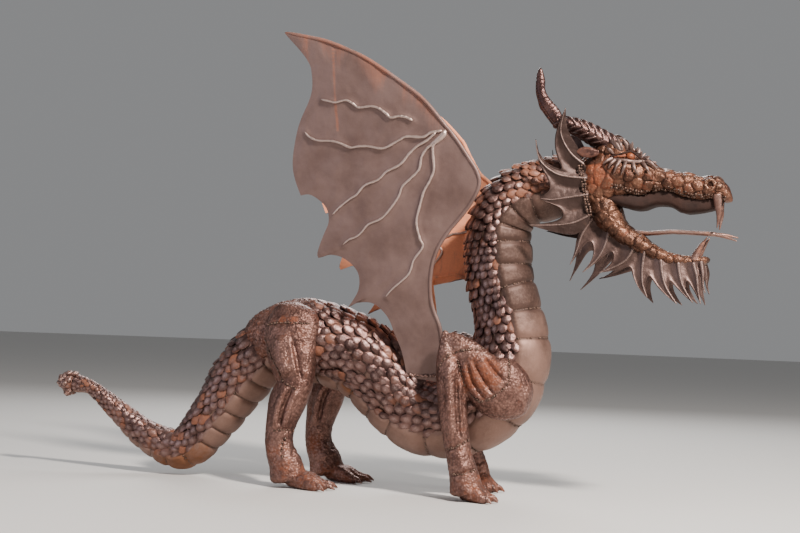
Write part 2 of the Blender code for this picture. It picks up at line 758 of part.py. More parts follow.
def make_dragon():
    clear_scene()
    scale_steel = steel("scale steel", (0.22, 0.13, 0.11), 0.5, 0.7)
    skin_steel = steel("skin steel", (0.20, 0.11, 0.08), 0.65, 0.6)
    wing_steel = steel("wing steel", (0.24, 0.15, 0.13), 0.55, 0.6)
    dark_steel = steel("dark steel", (0.05, 0.03, 0.02), 0.7, 0.5)
    fang_steel = steel("fang steel", (0.35, 0.28, 0.26), 0.4, 0.8)
    eye_rust = steel("eye rust", (0.55, 0.22, 0.06), 0.5, 0.3)

    body = make_body(scale_steel)
    head = deep_loft("head", HEAD_STATIONS, HEAD_SIDES, skin_steel)
    fit_against(head, body)
    jaw = make_jaw(head, body, skin_steel)
    palate = deep_loft("palate", PALATE_STATIONS, PALATE_SIDES, dark_steel)
    fit_against(palate, head, jaw)
    make_tongue(jaw, head, skin_steel)

    left_beard_ribs = lengthened(BEARD_RIBS, LEFT_BEARD_REACH)
    right = (RIGHT, "right", 0, 0, 0, 0, 0, 0, WING_FRONT_EDGE, BEARD_RIBS)
    left = (
        LEFT, "left", HINDLEG_STAGGER, FORELEG_STAGGER, FAR_FOOT_TURN, HORN_STAGGER, HORN_LIFT, WING_SWEEP_BACK,
        LEFT_WING_FRONT_EDGE, left_beard_ribs,
    )
    for variant in (right, left):
        side, label, hind_shift, fore_shift, foot_turn, horn_shift, horn_lift, sweep, front_edge, beard_ribs = variant
        make_hindleg("hindleg_" + label, side, hind_shift, body, skin_steel)
        make_foreleg("foreleg_" + label, side, fore_shift, foot_turn, body, skin_steel)
        make_wing("wing_" + label, side, sweep, front_edge, body, wing_steel)
        horn = make_horn("horn_" + label, side, horn_shift, horn_lift, head, scale_steel)
        frill = webbed_fan("frill_" + label, FRILL_RIBS, FRILL_EDGE, frill_place(side), wing_steel)
        fit_against(frill, head, body, jaw)
        make_ear("ear_" + label, side, (head, frill, horn), skin_steel)
        beard_edge = webbed_outline(beard_ribs, BEARD_WEBS)
        beard = webbed_fan("beard_" + label, beard_ribs, beard_edge, beard_place(side), wing_steel)
        fit_against(beard, jaw, head, body)
        eye_ring = make_eye_ring("eye_ring_" + label, side, (head, horn), skin_steel)
        make_eye("eye_" + label, side, eye_ring, head, eye_rust)
        make_nostril("nostril_" + label, side, head, skin_steel)
        make_fang("upper_fang_" + label, UPPER_FANG, side, UPPER_FANG_DISTANCE, (head, palate), fang_steel)
        make_fang("lower_fang_" + label, LOWER_FANG, side, LOWER_FANG_DISTANCE, (jaw,), fang_steel)


make_dragon()
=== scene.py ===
"""The looks of a garden dragon welded from sheet steel and left to rust.

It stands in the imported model's frame: +X runs from tail to head, +Y is the dragon's left side, and the
photograph shows its right. Stations are in millimetres of a dragon DRAWN_LENGTH long; the frame's own length
sets the real size.
"""
from math import atan, cos, pi, radians, sin

import bpy
import numpy as np
from mathutils import Matrix, Vector
from mathutils.bvhtree import BVHTree
from mathutils.kdtree import KDTree


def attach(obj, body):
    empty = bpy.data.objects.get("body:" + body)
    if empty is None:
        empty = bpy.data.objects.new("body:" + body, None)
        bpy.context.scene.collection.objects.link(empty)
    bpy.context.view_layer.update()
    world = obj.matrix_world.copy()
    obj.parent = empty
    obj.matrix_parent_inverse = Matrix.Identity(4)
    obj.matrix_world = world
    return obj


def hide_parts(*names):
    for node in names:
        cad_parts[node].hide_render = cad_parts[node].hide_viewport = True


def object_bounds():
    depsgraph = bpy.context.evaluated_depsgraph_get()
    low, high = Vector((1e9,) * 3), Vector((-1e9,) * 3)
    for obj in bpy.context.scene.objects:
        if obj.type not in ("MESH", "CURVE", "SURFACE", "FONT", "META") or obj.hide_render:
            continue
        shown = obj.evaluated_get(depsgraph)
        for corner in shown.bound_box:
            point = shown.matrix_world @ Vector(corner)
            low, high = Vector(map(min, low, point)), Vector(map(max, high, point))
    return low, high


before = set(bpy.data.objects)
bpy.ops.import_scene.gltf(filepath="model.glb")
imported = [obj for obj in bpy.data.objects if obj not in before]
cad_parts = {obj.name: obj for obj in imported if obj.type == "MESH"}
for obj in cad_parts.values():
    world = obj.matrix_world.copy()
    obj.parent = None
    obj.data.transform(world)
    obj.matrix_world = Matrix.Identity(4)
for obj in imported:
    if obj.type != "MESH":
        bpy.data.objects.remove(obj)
CAD_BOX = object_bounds()
# The stations draw a dragon whose box is this long, so one of their millimetres is MM metres here
DRAWN_LENGTH = 2124.7
MM = (CAD_BOX[1].x - CAD_BOX[0].x) / DRAWN_LENGTH
RIGHT = -1
LEFT = 1
SIDES = (RIGHT, LEFT)
chance = np.random.default_rng(11)

# Small steps on a curve: one for its course at a place, one for going along the body
COURSE_STEP = 0.02
STRIDE = 0.05

# Tail, torso and neck from tail tip to skull: x, z, half depth, half width
BODY_STATIONS = [
    (-1064, 276, 12, 10), (-1052, 270, 26, 20), (-1034, 268, 33, 24), (-1008, 266, 27, 21),
    (-950, 250, 21, 21), (-852, 182, 33, 31), (-742, 110, 47, 45), (-619, 86, 63, 60),
    (-521, 191, 77, 73), (-432, 319, 93, 86), (-330, 424, 99, 96), (-215, 438, 122, 108),
    (-41, 387, 118, 110), (89, 277, 119, 110), (170, 231, 119, 112), (275, 248, 130, 116),
    (368, 318, 132, 118), (414, 424, 115, 106), (400, 540, 99, 95), (372, 635, 98, 95),
    (364, 730, 98, 93), (364, 798, 93, 86), (392, 850, 93, 80), (436, 885, 93, 74),
    (499, 904, 90, 68), (571, 920, 84, 62), (630, 930, 76, 56),
]
LAST_PLACE = len(BODY_STATIONS) - 1
# Places on the body's curve: the tail's end, the neck's start, the rump's saddle, and where scales are rusty
TAIL_PLACE = 9.5
NECK_PLACE = 17.5
RUMP_PLACES = (9.8, 11.1)
RUMP_FRONT = (10.5, 12.4)
NAPE_PLACE = 21.8
# How deep the saddle's rim is sunk into the body, and how far its middle rises from there
SADDLE_SUNK = 22
SADDLE_RISE = 25
# Painted shade: the neck's plates get darker from the one height to the other
NECK_PAINTED_SHADE_HEIGHTS = (330, 590)
NECK_BEGINS_X = 200
TAIL_END_BEADS = 34

# Belly plates: their pitch is a share of the body's half depth and a base
PLATE_PITCH_SHARE = 0.50
PLATE_PITCH_BASE = 24
FIRST_PLATE_PLACE = 0.5
FULL_RELIEF_DEPTH = 60
PLATE_BULGE = 8
BELLY_PLACES = (0, 4.5, 6.5, 8.5, 11.0, 12.3, 13.6, 17, 20, 26)
BELLY_HALF_ANGLES = [radians(angle) for angle in (34, 40, 68, 68, 44, 46, 66, 70, 80, 76)]
BELLY_EDGE = radians(4)
TICK_PITCH = 7
SCALE_BED = 8
# Rust on the belly: x, z, radius and how much
BELLY_RUST = [(-48, 308, 34, 1.0), (-640, 30, 90, 0.85), (-560, 70, 60, 0.75)]

# Scales: a column's greatest width for the body's half depth, and a row's pitch as a share of that width
SCALE_WIDTHS = [(20, 13), (30, 17), (50, 23), (75, 26), (92, 27), (100, 29), (130, 30)]
NECK_SCALE_WIDTH = 26
SCALE_PITCH = 0.92
SCALE_OVERLAP = 1.05
SCALE_LIFT = radians(14)
# A scale 1 wide: how high its crown is, how far it reaches back behind its root, and how deep its rim is
SCALE_RISE = 0.19
SCALE_BACK = 0.32
SCALE_RIM = 0.24
FIRST_SCALE_PLACE = 1.6
FIRST_SCALE_COLUMNS = 6
LAST_SCALE_PLACE = 25.7

# Limbs: x, z, half depth, half width, distance from the middle plane
HINDLEG_STATIONS = [
    (-226, 548, 36, 22, 84), (-230, 518, 70, 40, 90), (-232, 470, 84, 54, 97), (-231, 415, 81, 57, 103),
    (-218, 355, 67, 53, 115), (-206, 308, 53, 46, 125), (-226, 255, 57, 45, 131), (-241, 195, 47, 40, 135),
    (-247, 150, 42, 36, 136), (-242, 108, 43, 37, 136), (-222, 66, 50, 42, 136), (-210, 14, 56, 48, 136),
]
FORELEG_STATIONS = [
    (255, 484, 6, 8, 146), (262, 440, 22, 24, 146), (269, 398, 34, 32, 148), (276, 350, 39, 37, 150),
    (285, 290, 42, 39, 150), (291, 238, 40, 38, 150), (300, 183, 38, 35, 150), (313, 122, 37, 34, 150),
    (330, 66, 43, 38, 150), (338, 14, 48, 46, 150),
]
SHOULDER_STATIONS = [
    (262, 462, 22, 16, 146), (300, 436, 36, 28, 143), (330, 405, 50, 36, 136), (365, 356, 74, 46, 128),
    (416, 322, 88, 56, 118), (464, 302, 72, 48, 106), (502, 292, 34, 28, 94),
]
# Toes: reach forward from the ankle, height, half depth, half width
HIND_TOE = [(-10, 38, 34, 24), (45, 26, 27, 20), (78, 18, 20, 17), (104, 13, 14, 13), (118, 10, 9, 9)]
FORE_TOE = [(-10, 42, 40, 24), (30, 32, 30, 21), (56, 21, 21, 17), (74, 14, 14, 13), (84, 11, 9, 9)]
HIND_CLAW = [(100, 16), (122, 13), (141, 3)]
FORE_CLAW = [(68, 16), (84, 13), (100, 3)]
CLAW_RADIUS = 10
HIND_ANKLE = (-205, 136)
FORE_ANKLE = (330, 150)
TOES = 3
TOE_SPREAD = radians(24)
HINDLEG_STAGGER = 20
FORELEG_STAGGER = -52
FAR_FOOT_TURN = radians(-28)
LIMB_VOXEL = 3.2
GROOVE_RADIUS = 5
GROOVE_HEIGHT = -9
SEAM_HEIGHT = -3
DROP_SPACING = 9
# Large primes that turn a cell's three numbers into one key
CELL_KEYS = np.array([73856093, 19349663, 83492791])

# Wing: x and height along the sheet, from the tip down to the root; each point of the edge starts a new arc
WING_REAR_ARCS = [
    [(-247, 1347), (-183, 1276), (-163, 1230), (-166, 1165), (-206, 1075), (-226, 980), (-220, 920),
     (-202, 869)],
    [(-202, 869), (-170, 871), (-126, 839), (-114, 795), (-132, 750), (-151, 700), (-148, 684)],
    [(-148, 684), (-108, 695), (-62, 682), (-24, 644), (-22, 594), (-55, 541)],
    [(-55, 541), (-28, 554), (23, 554), (66, 518), (90, 463), (114, 404), (126, 340)],
]
WING_TOP_ARC = [
    (-247, 1349), (-198, 1338), (-121, 1321), (-46, 1292), (15, 1262), (106, 1202), (180, 1146), (247, 1069),
]
WING_FRONT_ARC = [
    (247, 1069), (262, 1052), (286, 1020), (315, 977), (339, 938), (343, 900),
    (318, 850), (284, 806), (253, 770), (223, 725), (206, 681), (199, 640), (197, 608),
    (200, 570), (208, 538), (230, 470), (232, 330),
]
LEFT_WING_FRONT_ARC = [
    (247, 1069), (272, 1016), (300, 965), (336, 927), (338, 890), (302, 800), (284, 720), (266, 645),
    (223, 651), (176, 648), (150, 638), (158, 560), (166, 483), (176, 330),
]
WING_VEINS = [
    [(-132, 1150), (-107, 1144), (-85, 1140), (-54, 1146), (-33, 1137), (-14, 1125), (23, 1128), (47, 1122),
     (69, 1107), (84, 1095), (108, 1099), (129, 1096), (150, 1086)],
    [(-184, 1056), (-171, 1042), (-143, 1030), (-99, 1028), (-71, 1021), (-40, 1009), (-15, 1012),
     (16, 1012), (53, 1006), (77, 1012), (108, 1029), (132, 1040), (180, 1039), (205, 1052), (238, 1057)],
    [(-101, 812), (-79, 833), (-47, 857), (-22, 872), (3, 898), (46, 916), (71, 939), (113, 960), (138, 989),
     (162, 1012), (192, 1029), (219, 1052)],
    [(-67, 724), (-48, 739), (-23, 749), (-5, 764), (14, 785), (54, 803), (82, 832), (107, 867), (119, 896),
     (141, 917), (162, 937), (171, 951), (177, 983), (195, 1009), (216, 1020), (232, 1043)],
    [(65, 574), (87, 598), (130, 635), (143, 658), (152, 685), (179, 723), (170, 749), (161, 795),
     (171, 839), (183, 882), (201, 914), (213, 946), (210, 989), (212, 1016), (236, 1046)],
]
# A vein that shows only on the inner face of the left wing, and a run of rust down the near one
INNER_VEIN = [(150, 752), (176, 764), (197, 772), (216, 780), (238, 781), (262, 785)]
RUST_RUN = [(-96, 1308), (-92, 1230), (-88, 1140), (-81, 1052)]
VEIN_RADIUS = 3.8
RIM_RADIUS = 6.0
WING_SHEET = 3.0
WING_ROWS = 168
WING_BILLOW = 7
CREASE_HEIGHT = 4.0
CREASE_RADIUS = 9
# Rust on the wings: how far it runs down from the rim and from what height on; then the rim's own rust
RIM_RUST_DEPTH = 110
RIM_RUST_LOW = 950
RIM_RUST_HEIGHTS = (1000, 1260)
RUST_RUN_RADIUS = 5
WING_ROOT = (170, 350, 82)
WING_LEAN = radians(8)
WING_SWEEP_BACK = radians(4)
WING_ROOT_SEAM = ((128, 346), (231, 350))
KNUCKLE = [(196, 1012), (222, 1030), (240, 1046), (246, 1062)]
KNUCKLE_SIZES = [5, 9, 10, 7]

# Head: x, top, bottom, half width
HEAD_STATIONS = [
    (604, 975, 862, 58), (640, 1012, 846, 72), (685, 1046, 852, 80), (722, 1050, 874, 82),
    (752, 1014, 882, 76), (792, 990, 884, 66), (832, 964, 899, 58), (870, 953, 898, 53),
    (914, 945, 880, 51), (955, 938, 875, 50), (995, 938, 878, 46), (1022, 912, 872, 36),
    (1036, 884, 866, 18),
]
PALATE_STATIONS = [
    (664, 902, 862, 54), (712, 897, 857, 58), (764, 890, 845, 52), (792, 890, 844, 46), (829, 905, 856, 42),
    (868, 905, 854, 40), (895, 890, 840, 39), (921, 885, 835, 38), (957, 884, 839, 36),
    (991, 886, 847, 30), (1014, 886, 855, 20),
]
JAW_STATIONS = [
    (660, 905, 44, 50), (668, 872, 48, 60), (688, 834, 46, 64), (722, 788, 31, 60), (768, 757, 28, 55),
    (806, 735, 22, 50), (850, 713, 19, 46), (900, 702, 16, 42), (940, 702, 14, 36), (968, 706, 11, 26),
    (978, 706, 6, 12),
]
# Hammered pads: their pitch, and the room that they leave round the eye, which is longer than high
PAD_PITCH = 31
EYE_CLEARANCE = 26
EYE_STRETCH = 1.35
MIDDLE_HALF = 25
TROUGH_DEPTH = 7
# The cheek's patch of rust: x and height of its middle, and its radii
CHEEK = (655, 940)
CHEEK_RADII = (80, 65)
LIP_LINE = [
    (704, 904), (746, 897), (774, 888), (810, 889), (837, 902), (883, 895), (928, 881),
    (991, 878), (1020, 876),
]
JAW_EDGE = [(672, 790), (722, 752), (790, 716), (855, 692), (907, 686), (965, 695)]
TONGUE_LINE = [(716, 806), (752, 787), (798, 779), (871, 784), (940, 782), (1000, 779)]
TONGUE_TIP = [(985, 780, 4), (1020, 775, 9), (1055, 766, 20)]
TONGUE_TIP_SPREAD = [0, 3, 6]
HORN_STATIONS = [
    (716, 1018, 27, 38), (668, 1046, 27, 44), (624, 1070, 25, 48), (585, 1085, 22, 50), (556, 1092, 19, 52),
    (534, 1100, 17, 53),
]
# The upturned end: x, z, half breadth, distance from the middle plane
HORN_TIP_STATIONS = [
    (552, 1088, 12, 53), (541, 1103, 17, 53), (530, 1119, 19, 53), (517, 1135, 18, 53), (505, 1150, 17, 54),
    (497, 1167, 14, 54), (490, 1188, 13, 54), (489, 1212, 13, 54), (487, 1236, 9, 54), (488, 1252, 2, 54),
]
HORN_STAGGER = -26
HORN_LIFT = 10
HORN_LOBES = 9
HORN_TWIST = 3.4
HORN_TIP_BEADS = 14

# Webbed fans: each rib from its root to its tip
FRILL_RIBS = [
    [(632, 965), (590, 1000), (562, 1058), (573, 1128)],
    [(640, 928), (560, 936), (508, 975), (494, 1034)],
    [(644, 882), (590, 872), (544, 864), (512, 866)],
    [(650, 825), (609, 802), (560, 792), (483, 789)],
]
FRILL_BORDERS = (
    [(632, 955), (612, 1010), (580, 1068), (573, 1128)],
    [(648, 800), (612, 768), (552, 772), (483, 789)],
)
# Each web: how far out it reaches at its hollow, where the hollow lies between its two ribs, and how steeply
# the edge rises from there to the first rib and to the second
FRILL_WEBS = ((0.34, 0.74, 1.5, 2.2), (0.60, 0.5, 2.6, 2.6), (0.52, 0.55, 2.6, 2.6))
BORDER_WEB = (1.0, 0.5, 1.0, 1.0)
# Roots: distance from the middle plane, where along x or z, and how fast it grows
FRILL_ROOT = (76, 640, 0.26)
FRILL_SEAM = [(623, 962), (631, 925), (637, 893), (643, 861), (653, 824)]
BEARD_RIBS = [
    [(655, 828), (622, 771), (608, 722), (591, 682)],
    [(700, 800), (691, 747), (668, 700), (628, 661)],
    [(776, 748), (754, 703), (718, 679), (674, 661)],
    [(803, 730), (798, 680), (801, 632), (816, 593)],
    [(848, 705), (856, 655), (870, 619), (899, 578)],
    [(897, 698), (904, 656), (917, 622), (943, 583)],
    [(938, 698), (950, 658), (955, 620), (964, 580)],
    [(960, 702), (966, 667), (968, 638), (975, 611)],
]
# How much longer the left beard's ribs are
LEFT_BEARD_REACH = (1.30, 1.34, 1.15, 1.08, 1.0, 1.0, 1.0, 1.0)
BEARD_WEBS = (
    (0.40, 0.45, 2.8, 1.6), (0.40, 0.42, 2.6, 1.4), (0.46, 0.42, 2.6, 1.4), (0.44, 0.38, 2.8, 1.15),
    (0.44, 0.38, 2.8, 1.15), (0.44, 0.38, 2.8, 1.2), (0.36, 0.5, 2.6, 2.0),
)
BEARD_ROOT = (38, 760, 0.10)
FAN_BORDER = 16
FAN_SHEET = 3.0

EYE_PLACE = (757, 990)
EYE_DISTANCE = 64
EYE_RADIUS = 13
EYE_SLIT = [(700, 990), (720, 992), (739, 999), (756, 1005), (768, 1001), (779, 992), (788, 984)]
INNER_LID = [(712, 987), (728, 990), (746, 993)]
LASH_ROOT = [(704, 984), (728, 980), (757, 976), (785, 977), (804, 981)]
# Leaves above the eye, from root to tip with their greatest half width, and lashes below it
EYE_LEAVES = [
    ([(714, 995), (702, 1007), (693, 1015)], 5), ([(731, 1004), (716, 1024), (698, 1041)], 8),
    ([(736, 1004), (727, 1024), (718, 1046)], 8), ([(745, 1007), (744, 1024), (732, 1044)], 7),
    ([(756, 1007), (759, 1021), (763, 1033)], 7), ([(770, 1004), (774, 1011), (780, 1018)], 4),
    ([(785, 992), (787, 1001), (791, 1007)], 4), ([(791, 988), (802, 990), (813, 991)], 4),
]
EYE_LASHES = [
    [(712, 984), (695, 975), (684, 965)], [(720, 981), (709, 968), (701, 953)],
    [(734, 981), (725, 961), (717, 938)], [(748, 984), (746, 958), (737, 934)],
    [(765, 982), (772, 956), (787, 934)], [(785, 981), (803, 961), (814, 944)],
    [(794, 984), (816, 973), (834, 956)],
]
# Half widths of a lash from root to tip
LASH_HALVES = [1.4 * 4.6, 4.6, 1]
NOSTRIL_PLACE = (980, 914)
NOSTRIL_DISTANCE = 52
NOSTRIL_BUMP = (1004, 912)
NOSTRIL_BUMP_DISTANCE = 47
UPPER_FANG = [(998, 892), (1001, 862), (1004, 830), (1000, 794)]
LOWER_FANG = [(938, 700), (946, 722), (958, 745), (975, 770)]
UPPER_FANG_DISTANCE = 34
LOWER_FANG_DISTANCE = 28
# Half sizes of a fang from root to tip
FANG_SIZES = 12 * np.array([1.25, 0.9, 0.55, 0.1])
EAR_LEAF = [(606, 1004), (628, 1002), (650, 1000), (672, 1000)]
EAR_DISTANCE = 84


# Tools

def select(piece):
    """Select one piece alone, so that an operator acts on nothing else."""
    bpy.ops.object.select_all(action="DESELECT")
    piece.select_set(True)
    bpy.context.view_layer.objects.active = piece


def added(operator, **settings):
    """The object that an add operator makes."""
    operator(**settings)
    return bpy.context.object


def placed(operator, place, **settings):
    """What an add operator makes at a place in millimetres, with the place worked into its points."""
    piece = added(operator, location=[value * MM for value in place], **settings)
    bpy.ops.object.transform_apply(location=True, rotation=True, scale=True)
    return piece


def named(piece, name):
    piece.name = name
    piece.data.name = name
    return piece


def rows_of(items, attribute, width, kind=np.float32):
    """One attribute of every item of a mesh, as rows of numbers."""
    values = np.empty(len(items) * width, kind)
    items.foreach_get(attribute, values)
    return values.reshape(-1, width)


def points_of(piece):
    """The piece's points as rows of x, y and z in metres."""
    return rows_of(piece.data.vertices, "co", 3)


def normals_of(piece):
    return rows_of(piece.data.vertex_normals, "vector", 3)


def move_points(piece, places):
    piece.data.vertices.foreach_set("co", np.ascontiguousarray(places, np.float32).ravel())
    piece.data.update()


def push(piece, amount):
    """Move each point out along its normal, by amounts in millimetres."""
    move_points(piece, points_of(piece) + normals_of(piece) * (amount * MM)[:, None])


def unit(vectors):
    return vectors / np.maximum(np.linalg.norm(vectors, axis=-1, keepdims=True), 1e-9)


def smooth_step(values):
    values = np.clip(values, 0, 1)
    return values * values * (3 - 2 * values)


def fade(values, start, end):
    """0 at the start and before it, 1 from the end on, smoothly; the end may lie below the start."""
    return smooth_step((values - start) / (end - start))


def curve_at(stations, places):
    """Points of a smooth curve through the stations; a place runs from 0 to the number of spans."""
    table = np.array(stations, float)
    last = len(table) - 1
    places = np.atleast_1d(np.asarray(places, float))
    spans = np.clip(places.astype(int), 0, last - 1)
    t = (places - spans)[:, None]
    before, start, end, after = (table[np.clip(spans + step, 0, last)] for step in (-1, 0, 1, 2))
    return 0.5 * (
        2 * start + (end - before) * t + (2 * before - 5 * start + 4 * end - after) * t ** 2
        + (3 * start - before - 3 * end + after) * t ** 3
    )


def upright(flat, y):
    """Points from rows of x and z and their distance from the middle plane."""
    return np.stack([flat[:, 0], y, flat[:, 1]], axis=1)


def run_length(path):
    """The length of a path up to each of its points."""
    return np.concatenate(([0], np.cumsum(np.linalg.norm(np.diff(path, axis=0), axis=1))))


def even_places(stations, shares, columns=2):
    """Places on a curve at shares of its length."""
    fine = np.linspace(0, len(stations) - 1, 40 * len(stations))
    run = run_length(curve_at(stations, fine)[:, :columns])
    return np.interp(np.asarray(shares) * run[-1], run, fine)


def place_finder(stations, count, columns=2):
    """A function that turns shares of a curve's length into places on it, from a table of this many rows."""
    shares = np.linspace(0, 1, count)
    places = even_places(stations, shares, columns)
    return lambda along: np.interp(along, shares, places)


def evenly(line, count):
    """Points at even steps along a line."""
    return curve_at(line, even_places(line, np.linspace(0, 1, count)))


def end_taper(along, first, last):
    """1 along the middle, falling to 0 at both ends in quarter circles."""
    near = np.clip(np.minimum(along / first, (1 - along) / last), 0, 1)
    return np.sqrt(np.maximum(1 - (1 - near) ** 2, 0))


def close_seams(piece, distance=2e-5):
    """Merge the points where the surface meets itself and turn every face outwards."""
    select(piece)
    bpy.ops.object.mode_set(mode="EDIT")
    bpy.ops.mesh.select_all(action="SELECT")
    bpy.ops.mesh.remove_doubles(threshold=distance)
    bpy.ops.mesh.normals_make_consistent(inside=False)
    bpy.ops.object.mode_set(mode="OBJECT")


def wrapped(name, rows, columns, surface, closed=True):
    """A grid laid on a surface: surface turns shares along and round into points in millimetres."""
    grid = added(bpy.ops.mesh.primitive_grid_add, x_subdivisions=rows, y_subdivisions=columns, size=1)
    piece = named(grid, name)
    shares = points_of(piece)[:, :2] + 0.5
    move_points(piece, surface(shares[:, 0].astype(float), shares[:, 1].astype(float)) * MM)
    if closed:
        close_seams(piece)
    return piece


def apply_modifier(piece, kind, **settings):
    select(piece)
    modifier = piece.modifiers.new(kind.lower(), kind)
    for name, value in settings.items():
        setattr(modifier, name, value)
    bpy.ops.object.modifier_apply(modifier=modifier.name)


def dents(piece, grain, height):
    """Shallow hammer dents; grain and height are in millimetres."""
    pattern = bpy.data.textures.new(piece.name, "CLOUDS")
    pattern.noise_scale = grain * MM
    apply_modifier(
        piece, "DISPLACE", texture=pattern, texture_coords="LOCAL", strength=height * MM, mid_level=0.5,
    )
    return piece


def joined(name, parts):
    select(parts[0])
    for part in parts:
        part.select_set(True)
    if len(parts) > 1:
        bpy.ops.object.join()
    return named(parts[0], name)


def paint_wear_and_light(piece, crown=0.5, tint=0.5, rust=0.0):
    """Store how proud each point stands, its own shade and how rusty it is; the materials read them, and
    paint highlight on proud points and shade on low ones.
    """
    layers = piece.data.color_attributes
    layer = layers.get("WearAndLight") or layers.new("WearAndLight", "FLOAT_COLOR", "POINT")
    values = np.ones((len(piece.data.vertices), 4), np.float32)
    for channel, value in enumerate((crown, tint, rust)):
        values[:, channel] = value
    layer.data.foreach_set("color", values.ravel())


def copied(model, name, matrices, tints, rusts):
    """Copies of a small model, each with its own mesh, shade and rust, joined into one; the model goes."""
    wear_and_light = rows_of(model.data.color_attributes["WearAndLight"].data, "color", 4)
    copies = []
    for matrix, tint, rust in zip(matrices, tints, rusts):
        twin = bpy.data.objects.new(name, model.data.copy())
        twin.data.transform(matrix)
        bpy.context.scene.collection.objects.link(twin)
        wear_and_light[:, 1] = tint
        wear_and_light[:, 2] = rust
        twin.data.color_attributes["WearAndLight"].data.foreach_set("color", wear_and_light.ravel())
        copies.append(twin)
    bpy.data.objects.remove(model)
    return joined(name, copies)


def tube_points(stations, places, angles, lift=0.0, side=RIGHT, shift=0.0, size=1.0):
    """Points on a limb or the body. Angle 0 faces the belly, and lift stands off the surface."""
    last = len(stations) - 1
    here = curve_at(stations, places)
    ahead = curve_at(stations, np.minimum(places + COURSE_STEP, last))
    course = unit((ahead - curve_at(stations, np.maximum(places - COURSE_STEP, 0)))[:, :2])
    depth = (here[:, 2] + lift) * size
    width = (here[:, 3] + lift) * size
    distance = here[:, 4] if here.shape[1] > 4 else 0
    return np.stack([
        here[:, 0] + shift + course[:, 1] * depth * np.cos(angles),
        side * distance + width * np.sin(angles),
        here[:, 1] - course[:, 0] * depth * np.cos(angles),
    ], axis=1)


def tube(name, stations, rows, columns, relief=None, side=RIGHT, shift=0.0, ends=(0.03, 0.03)):
    """A closed limb through its stations; relief gives its lift from place and angle."""
    find_places = place_finder(stations, 400)

    def surface(along, around):
        places = find_places(along)
        angles = 2 * pi * around
        lift = relief(places, angles) if relief else 0.0
        return tube_points(stations, places, angles, lift, side, shift, end_taper(along, *ends))

    return wrapped(name, rows, columns, surface)


def rod(name, path, deep, wide, rows, columns, ends=(0.04, 0.04), across=(0, 1, 0), relief=None):
    """A rod along a path of points in millimetres. Its half sizes are lists along the path."""
    path = np.array(path, float)
    table = np.column_stack([path, np.broadcast_to(deep, len(path)), np.broadcast_to(wide, len(path))])
    find_places = place_finder(table, 300, 3)

    def surface(along, around):
        places = find_places(along)
        here = curve_at(table, places)
        ahead = curve_at(table, np.minimum(places + COURSE_STEP, len(path) - 1))
        course = unit((ahead - curve_at(table, np.maximum(places - COURSE_STEP, 0)))[:, :3])
        beside = unit(np.cross(course, np.array(across, float)))
        over = np.cross(beside, course)
        angles = 2 * pi * around
        size = end_taper(along, *ends) * (relief(along, angles) if relief else 1)
        return (
            here[:, :3]
            + beside * (here[:, 3] * size * np.cos(angles))[:, None]
            + over * (here[:, 4] * size * np.sin(angles))[:, None]
        )

    return wrapped(name, rows, columns, surface)


def near_path(points, path, shares):
    """How far each point lies from a path, seen from the side, in millimetres, and the nearest share."""
    flat = points[:, [0, 2]] / MM
    nearest = np.full(len(flat), 1e9)
    where = np.zeros(len(flat))
    for share, spot in zip(shares, path):
        gap = np.hypot(flat[:, 0] - spot[0], flat[:, 1] - spot[1])
        closer = gap < nearest
        nearest[closer] = gap[closer]
        where[closer] = share
    return nearest, where


def near_line(points, line):
    """How far each point lies from a line of x and z, and the nearest share of the line's length."""
    shares = np.linspace(0, 1, 16 * len(line))
    return near_path(points, evenly(line, 16 * len(line)), shares)


def stroke(piece, line, radius, height):
    """Raise or, below 0, press the surface along a line of x and z, most where it faces sideways.

    The lift of each point comes back, in millimetres.
    """
    gap, share = near_line(points_of(piece), line)
    taper = smooth_step((0.5 - np.abs(share - 0.5)) / 0.22 + 0.12)
    move = height * taper * np.exp(-((gap / radius) ** 2)) * np.abs(normals_of(piece)[:, 1]) ** 0.6
    push(piece, move)
    return move


def point_tree(points):
    tree = KDTree(len(points))
    for index, point in enumerate(points):
        tree.insert(point, index)
    tree.balance()
    return tree


def stipple(piece, spacing, height, rust, bed, painted_glint):
    """Drops of weld metal all over the surface; each has its own size and shade.

    The crown value is bed between the drops, where the materials paint shade, and bed plus the last argument
    on the highest, where they paint a glint.
    """
    points = points_of(piece)
    cells = np.floor(points / (spacing * MM)).astype(np.int64)
    keys = (cells * CELL_KEYS).sum(axis=1)
    order = chance.permutation(len(points))
    seeds = order[np.unique(keys[order], return_index=True)[1]]
    tree = point_tree(points[seeds])
    _, nearest, gaps = zip(*[tree.find(point) for point in points])
    nearest = np.array(nearest)
    sizes = chance.uniform(0.45, 0.8, len(seeds)) * spacing
    heights = chance.uniform(0.35, 1.0, len(seeds))[nearest]
    dome = np.sqrt(np.maximum(1 - (np.array(gaps) / MM / sizes[nearest]) ** 2, 0))
    push(piece, dome * heights * height)
    paint_wear_and_light(piece, bed + painted_glint * dome * heights, chance.uniform(0.3, 0.7, len(seeds))[nearest], rust)


def mosaic(piece, seeds, height, seam, rusts):
    """Pads fitted edge to edge round their seeds, each with its own height, shade and rust."""
    tree = point_tree(seeds)
    found = [tree.find_n(point, 2) for point in points_of(piece)]
    nearest = np.array([pair[0][1] for pair in found])
    from_seam = np.array([pair[1][2] - pair[0][2] for pair in found]) / (2 * MM)
    pad = np.sqrt(1 - (1 - np.clip(from_seam / seam, 0, 1)) ** 2)
    heights = chance.uniform(0.65, 1.25, len(seeds))[nearest]
    push(piece, pad * heights * height)
    tints = chance.uniform(0.15, 0.9, len(seeds))[nearest]
    # Crown value low at the seams between pads, high on them: painted shade and highlight
    paint_wear_and_light(piece, 0.02 + 0.52 * pad, tints, np.asarray(rusts)[nearest])


def surface_tree(piece):
    return BVHTree.FromObject(piece, bpy.context.evaluated_depsgraph_get())


